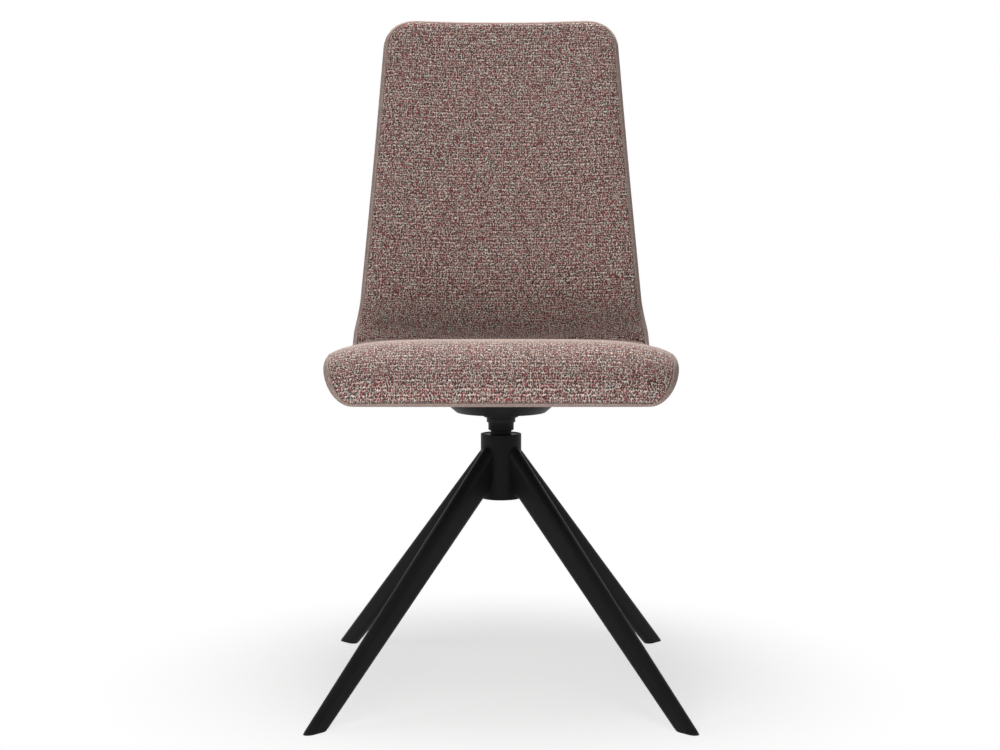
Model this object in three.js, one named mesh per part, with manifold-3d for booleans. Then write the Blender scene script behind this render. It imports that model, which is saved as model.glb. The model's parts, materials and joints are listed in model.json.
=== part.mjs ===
// Swivel dining chair: a one-piece upholstered shell that turns on a four-leg steel base.
// Millimetres, +Z up, the chair faces -Y and stands on Z = 0.
import * as THREE from "three";
import { mergeVertices } from "three/addons/utils/BufferGeometryUtils.js";
import Module from "manifold-3d";

const wasm = await Module();
wasm.setup();

const degree = Math.PI / 180;

// Fits: the gap between pieces that touch, the gap between layers of the shell, the play of turning
// pieces and the overrun of every cut.
const gap = 0.3;
const layerGap = 0.9;
const play = 0.35;
const overrun = 5;

// Legs: four tapered flat-oval tubes at 45 degrees in plan, their centre lines meeting on the axis.
const footSpread = 236;
const legApexHeight = 334;
const legTopDepth = 42.6;
const legTopWidth = 21.6;
const legFootDepth = 25;
const legFootWidth = 15.9;
const legWall = 2;
const legEdgeShare = 0.46;

// Glides: a thin sole under each leg with a plug up inside the tube.
const soleHeight = 3;
const plugHeight = 14;

// Hub tube, welded between the legs.
const hubRadius = 28.2;
const hubWall = 3.2;
const hubBelowApex = 71;
const hubCapHeight = 9;
const hubCapWall = 2.2;
const hubCapRecess = 1.2;

// Swivel bearing inside the hub.
const bearingPlateRise = 21;
const bearingPlateThickness = 5;
const raceThickness = 2;
const raceWidth = 9;
const ballRadius = 2.4;
const ballCount = 8;
const cageThickness = 1.8;
const lowerBushLength = 14;
const upperBushLength = 22;
const bushSpacing = 16.9;
const upperBushRecess = 1;

// Spindle: turned steel, a straight neck under a taper, with a pin through the bearing plate.
const spindleRadius = 14.3;
const spindleTaper = 0.95;
const spindleTaperLength = 40;
const neckHeight = 4.5;
const pinRadius = 8;
const pinTail = 5.2;
const clipThickness = 1.2;
const clipGrooveDepth = 1;
const clipWidth = 3.4;
const clipOpening = 60 * degree;
const washerThickness = 2;
const washerWidth = 7;
const edgeChamfer = 0.8;

// Socket, ring and dish under the seat. The dish's floor, corner, flare and rim follow each other
// inwards from the rim and upwards from the boss.
const socketWall = 3.55;
const socketChamfer = 1.6;
const socketGrooveDepth = 0.7;
const socketGrooveWidth = 1;
const socketGroovePitch = 2.8;
const socketGrooves = 2;
const ringRise = 11.5;
const ringHeight = 6.9;
const ringWall = 2.15;
const bossWidth = 4;
const bossHeight = 6.2;
const dishWall = 2.4;
const dishDepth = 33.7;
const dishBesidePlate = 12;
const dishRimWidth = 6;
const dishFlareWidth = 14;
const dishCornerWidth = 5;
const dishFloorRise = 0.3;
const dishCornerRise = 0.5;
const dishFlareRise = 12.2;
const dishRimRise = 8.1;

// Mounting plate: pressed steel with a turned-down lip, four bolts into tee nuts in the shell.
const plateRadius = 70;
const plateThickness = 3;
const plateLip = 4;
const boltInset = 16;
const boltRadius = 2.9;
const boltHeadOverhang = 3.6;
const boltHeadHeight = 3.6;
const boltSocketRadius = 2.3;
const boltSocketDepth = 2;
const teeWall = 1;
const teeFlangeWidth = 5.3;
const teeFlangeThickness = 1.2;

// Side profile of the shell's middle line, from the turned-down nose to the top of the back.
const seatFrontReach = 168;
const seatRearReach = 95.3;
const seatTilt = 4.2 * degree;
const noseRadius = 62;
const noseDrop = 78 * degree;
const bendRadius = 104;
const lowRecline = 11.5 * degree;
const topRecline = 15.5 * degree;
const backLength = 443;

// Half-widths, half-thicknesses and wing depths at eight places along the profile: nose edge,
// seat front, middle of the seat, start, middle and end of the bend, middle of the back, top.
const noseHalfWidth = 226.5;
const seatHalfWidth = 225;
const midSeatHalfWidth = 224.5;
const rearSeatHalfWidth = 217;
const bendHalfWidth = 216;
const lowBackHalfWidth = 209.3;
const midBackHalfWidth = 191.7;
const topHalfWidth = 177;
const noseHalfThickness = 29;
const seatHalfThickness = 34;
const bendHalfThickness = 28.5;
const backHalfThickness = 25;
const topHalfThickness = 22;
const bendWing = 31;
const midBackWing = 26;
const topWing = 17;
const startWing = 13;
const wingPowerShare = 2.4;
const frontPowerShares = [4.5, 4.5, 4.5, 5, 7, 9, 9, 9];
const frontRootShares = [2.3, 2.3, 2.3, 2.2, 2.1, 2, 2, 2];
const rearPowerShare = 12;
const rearRootShare = 2;

// Corners of the flat outline and rounding of its two ends.
const noseCornerWidth = 41.5;
const noseCornerLength = 70;
const topCornerWidth = 46;
const topCornerLength = 47;
const noseRounding = 26;
const topRounding = 24;

// Layers: rear cover, moulded plywood, foam pads, and the edge strip between the two seams.
const rearCoverThickness = 9;
const plyThickness = 10;
const plyInset = 19;
const edgeStrip = 9;
const creaseTurn = 12 * degree;
const creaseDepth = 7;
const creaseReach = 14;
const creaseMargin = 2.8;
const coverOpening = 3;
const coverStep = 1;
const coverSeamTurn = 32 * degree;
const coverSeamMargin = 6;

// Counts of facets.
const roundSteps = 32;
const hubSteps = 40;
const smallSteps = 12;
const cornerSteps = 5;
const ballSteps = 6;
const cornerRows = 6;
const seatRows = 3;
const bendRows = 9;
const backRows = 7;
const plyColumns = 10;
const creaseRowShares = [1, 0.55, 0.25, 0.08];
const bandInsetShares = [1, 0.62, 0.3, 0.08, 0];
const coverEndShares = [0, 0.08, 0.3, 0.62, 1];
const coverSideShare = 0.5;

const palette = {
  fabric: { color: 0x85706a, roughness: 0.95, metalness: 0 },
  strip: { color: 0x9e8a83, roughness: 0.9, metalness: 0 },
  plywood: { color: 0xc9a877, roughness: 0.6, metalness: 0 },
  blackPaint: { color: 0x1c1c1c, roughness: 0.55, metalness: 0.1 },
  blackPlastic: { color: 0x202020, roughness: 0.6, metalness: 0 },
  steel: { color: 0x9a9c9f, roughness: 0.35, metalness: 1 },
  zinc: { color: 0xb4b3ac, roughness: 0.4, metalness: 1 },
  nylon: { color: 0xe2dfd3, roughness: 0.5, metalness: 0 },
};

// A closed solid from points and triangles, turned right side out.
function solidOf(geometry) {
  const bare = new THREE.BufferGeometry();
  bare.setAttribute("position", geometry.getAttribute("position"));
  bare.setIndex(geometry.getIndex());
  const merged = mergeVertices(bare);
  const position = merged.getAttribute("position");
  const index = merged.getIndex().array;
  const corners = [];
  const [a, b, c] = [new THREE.Vector3(), new THREE.Vector3(), new THREE.Vector3()];
  let volume = 0;
  for (let i = 0; i < index.length; i += 3) {
    const [p, q, r] = [index[i], index[i + 1], index[i + 2]];
    if (p === q || q === r || r === p) continue;
    a.fromBufferAttribute(position, p);
    b.fromBufferAttribute(position, q);
    c.fromBufferAttribute(position, r);
    volume += a.dot(b.cross(c));
    corners.push([p, q, r]);
  }
  const triVerts = new Uint32Array(corners.flatMap(([p, q, r]) => (volume > 0 ? [p, q, r] : [p, r, q])));
  const vertProperties = new Float32Array(position.array);
  return new wasm.Manifold(new wasm.Mesh({ numProp: 3, vertProperties, triVerts }));
}

function geometryOf(solid) {
  const result = solid.getMesh();
  const geometry = new THREE.BufferGeometry();
  const positions = new Float32Array(result.vertProperties);
  geometry.setAttribute("position", new THREE.BufferAttribute(positions, 3));
  geometry.setIndex(new THREE.BufferAttribute(new Uint32Array(result.triVerts), 1));
  geometry.computeVertexNormals();
  return geometry;
}

function piece(name, solid, finish) {
  const material = new THREE.MeshStandardMaterial({ ...palette[finish] });
  const mesh = new THREE.Mesh(geometryOf(solid), material);
  mesh.name = name;
  return mesh;
}

// Rings of equal count joined into a solid, each four-sided face split along its shorter diagonal.
// Each end is closed across from a ring's first half to its second, so point i faces (last - i).
function loft(rings) {
  const count = rings[0].length;
  const points = rings.flat();
  const index = [];
  for (let r = 0; r < rings.length - 1; r++) {
    for (let i = 0; i < count; i++) {
      const [a, b] = [r * count + i, r * count + ((i + 1) % count)];
      const [c, d] = [b + count, a + count];
      const straight = points[a].distanceTo(points[c]) <= points[b].distanceTo(points[d]);
      if (straight) index.push(a, b, c, a, c, d);
      else index.push(a, b, d, b, c, d);
    }
  }
  const lastRing = (rings.length - 1) * count;
  for (let i = 0; i < count / 2 - 1; i++) {
    const [a, b, c, d] = [i, i + 1, count - 2 - i, count - 1 - i];
    index.push(b, a, d, b, d, c);
    index.push(lastRing + a, lastRing + b, lastRing + c, lastRing + a, lastRing + c, lastRing + d);
  }
  const geometry = new THREE.BufferGeometry().setFromPoints(points);
  geometry.setIndex(index);
  return solidOf(geometry);
}

// A turned piece from a closed outline of [radius, height] points, about the Z axis.
function turned(outline, steps = roundSteps) {
  const points = [...outline, outline[0]].map(([radius, height]) => new THREE.Vector2(radius, height));
  const geometry = new THREE.LatheGeometry(points, steps);
  geometry.rotateX(Math.PI / 2);
  return solidOf(geometry);
}

// A ring of rectangular section.
function ring(inner, outer, bottom, top, steps = roundSteps) {
  return turned([[inner, bottom], [outer, bottom], [outer, top], [inner, top]], steps);
}

function cylinder(radius, bottom, top, steps = roundSteps) {
  return turned([[0, bottom], [radius, bottom], [radius, top], [0, top]], steps);
}

function block(lowX, highX, lowY, highY, lowZ, highZ) {
  const geometry = new THREE.BoxGeometry(highX - lowX, highY - lowY, highZ - lowZ);
  geometry.translate((lowX + highX) / 2, (lowY + highY) / 2, (lowZ + highZ) / 2);
  return solidOf(geometry);
}

// The radius at which a faceted bore clears a turning shaft at any angle.
function boreFor(radius, clearance = play) {
  return (radius + clearance) / Math.cos(Math.PI / roundSteps);
}

// Sizes that several pieces share.
const hubInner = hubRadius - hubWall;
const insideHub = hubInner * Math.cos(Math.PI / hubSteps) - gap;
const footRadius = footSpread * Math.SQRT2;
const legLength = Math.hypot(footRadius, legApexHeight);
const legSlope = Math.atan2(legApexHeight, footRadius);
const hubBottom = legApexHeight - hubBelowApex;
const bearingPlateBottom = hubBottom + bearingPlateRise;
const bearingPlateTop = bearingPlateBottom + bearingPlateThickness;
const raceInner = boreFor(pinRadius);
const raceOuter = raceInner + raceWidth;
const ballRing = (raceInner + raceOuter) / 2;
const lowerRaceTop = bearingPlateTop + gap + raceThickness;
const upperRaceBottom = lowerRaceTop + 2 * ballRadius + 2 * gap;
const shoulderHeight = upperRaceBottom + raceThickness + gap;
const lowerBushBottom = shoulderHeight + gap;
const upperBushTop = lowerBushBottom + lowerBushLength + bushSpacing + upperBushLength;
const hubTop = upperBushTop + upperBushRecess;
const socketBottom = hubTop + neckHeight;
const socketRadius = spindleRadius + socketWall;
const ringBottom = socketBottom + ringRise;
const ringTop = ringBottom + ringHeight;
const ringRadius = socketRadius + ringWall;
const dishFloor = ringTop + bossHeight;
const seatMidHeight = dishFloor + dishDepth + seatHalfThickness;
const boltCircleRadius = plateRadius - boltInset;
const boltHeadRadius = boltRadius + boltHeadOverhang;
const teeBarrelRadius = boltRadius + gap + teeWall;
const teeFlangeRadius = teeBarrelRadius + teeFlangeWidth;

// A leg's cross-section, square to its centre line, at a share of the way from apex to foot.
function legRing(share, shrink) {
  const hubShare = hubRadius / footRadius;
  const along = (share - hubShare) / (1 - hubShare);
  const depth = THREE.MathUtils.lerp(legTopDepth, legFootDepth, along) - 2 * shrink;
  const width = THREE.MathUtils.lerp(legTopWidth, legFootWidth, along) - 2 * shrink;
  const radius = width * legEdgeShare;
  const centre = new THREE.Vector3(share * footRadius, 0, (1 - share) * legApexHeight);
  const up = new THREE.Vector3(Math.sin(legSlope), 0, Math.cos(legSlope));
  const points = [];
  for (const [sideY, sideUp, turn] of [[1, 1, 0], [-1, 1, 1], [-1, -1, 2], [1, -1, 3]]) {
    for (let k = 0; k <= cornerSteps; k++) {
      const angle = (turn + k / cornerSteps) * (Math.PI / 2);
      const y = sideY * (width / 2 - radius) + radius * Math.cos(angle);
      const rise = sideUp * (depth / 2 - radius) + radius * Math.sin(angle);
      points.push(centre.clone().addScaledVector(up, rise).setY(y));
    }
  }
  return points;
}

function legBody(shrink) {
  const pastFoot = 1 + legTopDepth / legLength;
  return loft([legRing(0, shrink), legRing(pastFoot, shrink)]);
}

const legReach = footRadius + legTopDepth;

function legSolid() {
  const above = block(0, legReach, -legTopWidth, legTopWidth, soleHeight + gap, legApexHeight * 2);
  const hub = cylinder(hubRadius + gap, 0, legApexHeight * 2, hubSteps);
  return legBody(0).subtract(legBody(legWall)).intersect(above).subtract(hub);
}

function glideSolid() {
  const soleSlab = block(0, legReach, -legTopWidth, legTopWidth, 0, soleHeight);
  const plugSlab = block(0, legReach, -legTopWidth, legTopWidth, soleHeight / 2, soleHeight + plugHeight);
  return legBody(0).intersect(soleSlab).add(legBody(legWall + gap).intersect(plugSlab));
}

function hubTube() {
  return turned([
    [hubInner, hubBottom], [hubRadius - edgeChamfer, hubBottom], [hubRadius, hubBottom + edgeChamfer],
    [hubRadius, hubTop - edgeChamfer], [hubRadius - edgeChamfer, hubTop], [hubInner, hubTop],
  ], hubSteps);
}

function hubBottomCap() {
  const bottom = hubBottom + hubCapRecess;
  const inner = insideHub - hubCapWall;
  return turned([
    [0, bottom], [insideHub - edgeChamfer, bottom], [insideHub, bottom + edgeChamfer],
    [insideHub, bottom + hubCapHeight], [inner, bottom + hubCapHeight],
    [inner, bottom + hubCapWall], [0, bottom + hubCapWall],
  ]);
}

// Ball cage of the thrust bearing: a ring with its balls snapped in, so that they turn as one.
function ballCage() {
  const middle = lowerRaceTop + gap + ballRadius;
  let cage = ring(raceInner + gap, raceOuter - gap, middle - cageThickness / 2, middle + cageThickness / 2);
  for (let k = 0; k < ballCount; k++) {
    const angle = (k / ballCount) * 2 * Math.PI;
    const ball = new THREE.SphereGeometry(ballRadius, ballSteps, ballSteps / 2);
    ball.rotateX(Math.PI / 2);
    ball.translate(ballRing * Math.cos(angle), ballRing * Math.sin(angle), middle);
    cage = cage.add(solidOf(ball));
  }
  return cage;
}

function lowerBush() {
  return ring(boreFor(spindleRadius), insideHub, lowerBushBottom, lowerBushBottom + lowerBushLength);
}

function upperBush() {
  const bore = boreFor(spindleRadius);
  const bottom = upperBushTop - upperBushLength;
  return turned([
    [bore, bottom], [insideHub, bottom], [insideHub, upperBushTop], [bore + edgeChamfer, upperBushTop],
    [bore, upperBushTop - edgeChamfer],
  ]);
}

const washerTop = bearingPlateBottom - gap;
const clipTop = washerTop - washerThickness - gap;
const clipBottom = clipTop - clipThickness;
const pinEnd = clipBottom - pinTail;

function spindle() {
  const grooveRadius = pinRadius - clipGrooveDepth;
  const top = socketBottom + spindleTaperLength;
  return turned([
    [0, pinEnd], [pinRadius - edgeChamfer, pinEnd], [pinRadius, pinEnd + edgeChamfer],
    [pinRadius, clipBottom - gap], [grooveRadius, clipBottom - gap], [grooveRadius, clipTop + gap],
    [pinRadius, clipTop + gap], [pinRadius, shoulderHeight], [spindleRadius, shoulderHeight],
    [spindleRadius, socketBottom], [spindleRadius - spindleTaper, top], [0, top],
  ]);
}

function retainingClip() {
  const inner = pinRadius - clipGrooveDepth + gap;
  const outline = new THREE.Shape();
  outline.absarc(0, 0, inner + clipWidth, clipOpening / 2, -clipOpening / 2, false);
  outline.absarc(0, 0, inner, -clipOpening / 2, clipOpening / 2, true);
  const clip = new THREE.ExtrudeGeometry(outline, {
    depth: clipThickness, bevelEnabled: false, curveSegments: roundSteps / 2,
  });
  clip.translate(0, 0, clipBottom);
  return solidOf(clip);
}

// Side profile: runs of the middle line, each with its length and its first and last direction.
const noseLength = noseRadius * (noseDrop + seatTilt);
const backStart = Math.PI / 2 - lowRecline;
const bendLength = bendRadius * (backStart + seatTilt);
const seatFlat = (seatFrontReach + seatRearReach) / Math.cos(seatTilt);
const runs = [
  { length: noseLength, from: noseDrop, to: -seatTilt },
  { length: seatFlat, from: -seatTilt, to: -seatTilt },
  { length: bendLength, from: -seatTilt, to: backStart },
  { length: backLength, from: backStart, to: Math.PI / 2 - topRecline },
];
const seatStart = noseLength;
const bendStart = seatStart + seatFlat;
const bendEnd = bendStart + bendLength;
const shellLength = bendEnd + backLength;
const stations = [
  0, seatStart, (seatStart + bendStart) / 2, bendStart,
  (bendStart + bendEnd) / 2, bendEnd, (bendEnd + shellLength) / 2, shellLength,
];
const halfWidths = [
  noseHalfWidth, seatHalfWidth, midSeatHalfWidth, rearSeatHalfWidth,
  bendHalfWidth, lowBackHalfWidth, midBackHalfWidth, topHalfWidth,
];
const halfThicknesses = [
  noseHalfThickness, seatHalfThickness, seatHalfThickness, seatHalfThickness,
  bendHalfThickness, backHalfThickness, (backHalfThickness + topHalfThickness) / 2, topHalfThickness,
];
const wings = [0, 0, 0, startWing, bendWing, bendWing, midBackWing, topWing];
const creasePlace = bendStart + bendRadius * creaseTurn;
const coverSeamPlace = bendStart + bendRadius * coverSeamTurn;

// The point and direction of the middle line at a distance from the nose edge.
function walk(distance) {
  const end = new THREE.Vector3();
  let left = distance;
  let heading = noseDrop;
  for (const { length, from, to } of runs) {
    const step = Math.min(left, length);
    const turn = ((to - from) * step) / length;
    const chord = turn === 0 ? step : (step * Math.sin(turn / 2)) / (turn / 2);
    end.y += chord * Math.cos(from + turn / 2);
    end.z += chord * Math.sin(from + turn / 2);
    heading = from + turn;
    left -= step;
    if (left <= 0) break;
  }
  return { end, heading };
}

const seatFrontRise = seatFrontReach * Math.tan(seatTilt);
const seatFrontPoint = new THREE.Vector3(0, -seatFrontReach, seatMidHeight + seatFrontRise);
const profileShift = seatFrontPoint.clone().sub(walk(noseLength).end);

// A smooth curve through one value for each station.
function along(distance, values) {
  let k = 0;
  while (k < stations.length - 2 && distance > stations[k + 1]) k++;
  const slope = (i) => (values[i + 1] - values[i]) / (stations[i + 1] - stations[i]);
  const bend = (i) => {
    if (i === 0) return slope(0);
    if (i === stations.length - 1) return slope(i - 1);
    return slope(i - 1) * slope(i) <= 0 ? 0 : (slope(i - 1) + slope(i)) / 2;
  };
  const span = stations[k + 1] - stations[k];
  const t = (distance - stations[k]) / span;
  const square = t * t;
  const cube = square * t;
  return values[k] * (2 * cube - 3 * square + 1) + values[k + 1] * (3 * square - 2 * cube)
    + bend(k) * span * (cube - 2 * square + t) + bend(k + 1) * span * (cube - square);
}

const rounded = (share) => Math.sqrt(Math.max(0, 1 - (1 - Math.min(Math.max(share, 0), 1)) ** 2));

// Half-width of the flat outline, drawn in by an inset all round.
function halfWidth(distance, inset = 0) {
  const nose = (noseCornerWidth - inset) * (1 - rounded((distance - inset) / (noseCornerLength - inset)));
  const topLeft = shellLength - inset - distance;
  const top = (topCornerWidth - inset) * (1 - rounded(topLeft / (topCornerLength - inset)));
  return along(distance, halfWidths) - inset - nose - top;
}

const wingAt = (across, distance) =>
  along(distance, wings) * Math.abs(across / along(distance, halfWidths)) ** wingPowerShare;

function thicknessAt(distance) {
  const ends = rounded(distance / noseRounding) * rounded((shellLength - distance) / topRounding);
  return along(distance, halfThicknesses) * ends;
}

function rimShare(across, distance, power, root) {
  const share = Math.min(1, Math.abs(across) / Math.max(halfWidth(distance), gap));
  return (1 - share ** power) ** (1 / root);
}

// Heights of the front and rear faces above the middle line, square to it.
function frontFace(across, distance) {
  const power = along(distance, frontPowerShares);
  const root = along(distance, frontRootShares);
  return wingAt(across, distance) + thicknessAt(distance) * rimShare(across, distance, power, root);
}

function rearFace(across, distance) {
  const full = thicknessAt(distance) * rimShare(across, distance, rearPowerShare, rearRootShare);
  return wingAt(across, distance) - full;
}

const plyRear = (across, distance) =>
  wingAt(across, distance) - along(distance, halfThicknesses) + rearCoverThickness;
const plyFront = (across, distance) => plyRear(across, distance) + plyThickness;

// Where a point of the shell lies: across the chair, along the profile, above the middle line.
function shellPoint(across, distance, height) {
  const { end, heading } = walk(distance);
  const [y, z] = [end.y - Math.sin(heading) * height, end.z + Math.cos(heading) * height];
  return new THREE.Vector3(across, y, z).add(new THREE.Vector3(0, profileShift.y, profileShift.z));
}

// Places from one end to the other, closer together near both ends.
function spread(from, to, count) {
  const places = [];
  for (let k = 0; k <= count; k++) {
    places.push(THREE.MathUtils.lerp(from, to, (1 - Math.cos((k / count) * Math.PI)) / 2));
  }
  return places;
}

function evenly(from, to, count) {
  return Array.from({ length: count }, (_, k) => THREE.MathUtils.lerp(from, to, (k + 1) / count));
}

// The rows that every layer shares: round the nose corners, along the sides, round the top corners.
function rowsAt(inset) {
  const corner = (k) => 1 - Math.cos(((k / cornerRows) * Math.PI) / 2);
  const nose = [];
  const top = [];
  for (let k = 0; k <= cornerRows; k++) {
    nose.push(inset + (noseCornerLength - inset) * corner(k));
    top.unshift(shellLength - inset - (topCornerLength - inset) * corner(k));
  }
  const sides = [
    seatStart, ...evenly(seatStart, bendStart, seatRows), ...evenly(bendStart, bendEnd, bendRows),
    ...evenly(bendEnd, shellLength - topCornerLength, backRows).slice(0, -1),
  ];
  return [...nose, ...sides, ...top].sort((a, b) => a - b);
}

// Places across a layer: those over the plywood, which every layer shares, and its own two edges.
function overPly(distance, limit = seatHalfWidth) {
  const row = THREE.MathUtils.clamp(distance, plyInset, shellLength - plyInset);
  const half = Math.min(halfWidth(row, plyInset), limit);
  return spread(-half, half, plyColumns);
}

const padAcross = (half, distance) => [-half, ...overPly(distance, half - coverStep), half];

// A layer of the shell between two faces, over the given rows, inset from the outline.
function layer(rows, inset, acrossAt, lower, upper) {
  const rings = rows.map((distance) => {
    const across = acrossAt(halfWidth(distance, inset), distance);
    const top = across.map((x) => shellPoint(x, distance, upper(x, distance)));
    const bottom = across.map((x) => shellPoint(x, distance, lower(x, distance)));
    return [...top, ...bottom.reverse()];
  });
  return loft(rings);
}

// The pads draw in towards the sewn crease between seat and back.
function creaseDip(distance) {
  const near = Math.min(1, Math.abs(distance - creasePlace) / creaseReach);
  return creaseDepth * (1 - rounded(near));
}

const padInset = edgeStrip + layerGap;
const padTop = (across, distance) => frontFace(across, distance) - creaseDip(distance);
const padBottom = (across, distance) => plyFront(across, distance) + layerGap;

// Rows of a pad on one side of the crease, with closer rows down into it.
function padRows(side) {
  const edge = creasePlace + (side * gap) / 2;
  const close = creaseRowShares.map((share) => creasePlace + side * creaseReach * share);
  const rows = rowsAt(padInset).filter((row) => side * (row - creasePlace) > creaseReach + creaseMargin);
  return [...rows, ...close, edge].sort((a, b) => a - b);
}

function seatCushion() {
  return layer(padRows(-1), padInset, padAcross, padBottom, padTop);
}

function backCushion() {
  return layer(padRows(1), padInset, padAcross, padBottom, padTop);
}

// Round holes through the seat, square to its underside, made in the seat's own frame.
function inSeatFrame(geometry) {
  geometry.rotateX(-seatTilt);
  const below = shellPoint(0, seatStart + seatFrontReach / Math.cos(seatTilt), 0);
  geometry.translate(0, below.y, below.z);
  return geometry;
}

const boltPlaces = [45, 135, 225, 315].map((turn) => [
  boltCircleRadius * Math.cos(turn * degree), boltCircleRadius * Math.sin(turn * degree),
]);

function tiltedRod(radius, bottom, top, [x, y] = [0, 0], steps = smallSteps) {
  const rod = new THREE.CylinderGeometry(radius, radius, top - bottom, steps);
  rod.rotateX(Math.PI / 2);
  rod.translate(x, y, (top + bottom) / 2);
  return solidOf(inSeatFrame(rod));
}

const plyRearLevel = -seatHalfThickness + rearCoverThickness;
const plyFrontLevel = plyRearLevel + plyThickness;
const teeSeat = plyFrontLevel - teeFlangeThickness - gap;

function plyShell() {
  let shell = layer(rowsAt(plyInset), plyInset, (half, distance) => overPly(distance), plyRear, plyFront);
  for (const place of boltPlaces) {
    shell = shell.subtract(tiltedRod(teeBarrelRadius + gap, -seatHalfThickness, seatHalfThickness, place));
    shell = shell.subtract(tiltedRod(teeFlangeRadius + gap, teeSeat, seatHalfThickness, place));
  }
  return shell;
}

// How far a point lies outside the plywood's edge.
function outsidePly(across, distance) {
  const side = Math.abs(across) - halfWidth(distance, plyInset);
  const ends = Math.max(plyInset - distance, distance - (shellLength - plyInset));
  return Math.max(side, ends);
}

// The cover's inner face lies on the plywood and steps up round its edge to the pads.
function coverTop(across, distance) {
  const step = THREE.MathUtils.clamp((outsidePly(across, distance) - layerGap) / coverStep, 0, 1);
  const behindPly = plyRear(across, distance) - layerGap;
  return THREE.MathUtils.lerp(behindPly, plyFront(across, distance), step);
}

function coverAcross(half, distance) {
  const inner = overPly(distance, half - layerGap - 2 * coverStep);
  const clear = inner[plyColumns] + layerGap;
  const side = THREE.MathUtils.lerp(clear + coverStep, half, coverSideShare);
  return [-half, -side, -clear - coverStep, -clear, ...inner, clear, clear + coverStep, side, half];
}

// One panel of the outer cover, under the seat (-1) or behind the back (1), up to their cross seam.
function coverPanel(side) {
  const low = plyInset - layerGap;
  const ends = coverEndShares.map((share) => THREE.MathUtils.lerp(padInset, low - coverStep, share));
  const front = [...ends, low];
  const all = [...front, ...rowsAt(plyInset), ...front.map((row) => shellLength - row).reverse()];
  const rows = all.filter((row) => side * (row - coverSeamPlace) > coverSeamMargin);
  rows.push(coverSeamPlace + (side * gap) / 2);
  return layer(rows.sort((a, b) => a - b), padInset, coverAcross, rearFace, coverTop);
}

function underCover() {
  const hole = tiltedRod(plateRadius + coverOpening, -seatHalfThickness * 2, 0, [0, 0], roundSteps);
  return coverPanel(-1).subtract(hole);
}

// The right half of the flat outline at an inset, from the middle of the nose to the middle of the top.
function outlinePoints(inset) {
  const rows = rowsAt(inset);
  const side = rows.map((distance) => [halfWidth(distance, inset), distance]);
  const across = (edge) => [edge, edge / 2].map((x) => Math.max(x, gap / 2)).concat(gap / 2).slice(1);
  const nose = across(side[0][0]).reverse().map((x) => [x, inset]);
  const top = across(side[side.length - 1][0]).map((x) => [x, shellLength - inset]);
  return [...nose, ...side, ...top];
}

// The edge strip: one half of the band round the shell's edge, from seam to seam.
function edgeBand(side) {
  const outlines = bandInsetShares.map((share) => outlinePoints(edgeStrip * share));
  const rings = outlines[0].map((_, i) => {
    const front = outlines.map((outline) => {
      const [across, distance] = outline[i];
      return shellPoint(side * across, distance, frontFace(across, distance));
    });
    const rear = outlines.slice(0, -1).map((outline) => {
      const [across, distance] = outline[i];
      return shellPoint(side * across, distance, rearFace(across, distance));
    });
    const [across, distance] = outlines[0][i];
    const middle = (frontFace(across, distance) + rearFace(across, distance)) / 2;
    return [...front, ...rear.reverse(), shellPoint(side * across, distance, middle)];
  });
  return loft(rings);
}

// The space above a plane that slopes with the seat, which trims the dish and the socket.
function aboveLevel(level) {
  const size = shellLength;
  const geometry = new THREE.BoxGeometry(size, size, size);
  geometry.translate(0, 0, level + size / 2);
  return solidOf(inSeatFrame(geometry));
}

const plateTop = plyRearLevel - gap;
const plateBottom = plateTop - plateThickness;

function mountingPlate() {
  const outline = [
    [0, plateBottom], [plateRadius - plateThickness, plateBottom],
    [plateRadius - plateThickness, plateBottom - plateLip], [plateRadius, plateBottom - plateLip],
    [plateRadius, plateTop], [0, plateTop],
  ];
  const points = outline.map(([radius, height]) => new THREE.Vector2(radius, height));
  const geometry = new THREE.LatheGeometry(points, roundSteps);
  geometry.rotateX(Math.PI / 2);
  let plate = solidOf(inSeatFrame(geometry));
  for (const place of boltPlaces) {
    plate = plate.subtract(tiltedRod(boltRadius + gap, plateBottom - overrun, plateTop + overrun, place));
  }
  return plate;
}

function socket() {
  const bore = (height) => {
    const share = (height - socketBottom) / spindleTaperLength;
    return boreFor(spindleRadius - spindleTaper * share, gap);
  };
  const taperTop = socketBottom + spindleTaperLength;
  const top = seatMidHeight;
  const outline = [[bore(socketBottom), socketBottom], [socketRadius - socketChamfer, socketBottom],
    [socketRadius, socketBottom + socketChamfer]];
  for (let k = 0; k < socketGrooves; k++) {
    const low = socketBottom + socketChamfer + socketGroovePitch * (k + 1) - socketGrooveWidth;
    outline.push([socketRadius, low], [socketRadius - socketGrooveDepth, low]);
    outline.push([socketRadius - socketGrooveDepth, low + socketGrooveWidth]);
    outline.push([socketRadius, low + socketGrooveWidth]);
  }
  outline.push([socketRadius, top], [bore(taperTop), top], [bore(taperTop), taperTop]);
  return turned(outline).subtract(aboveLevel(plateBottom - gap));
}

const besideSocket = boreFor(socketRadius, gap);

function coverRing() {
  return turned([
    [besideSocket, ringBottom], [ringRadius - edgeChamfer, ringBottom],
    [ringRadius, ringBottom + edgeChamfer], [ringRadius, ringTop - gap], [besideSocket, ringTop - gap],
  ]);
}

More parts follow.
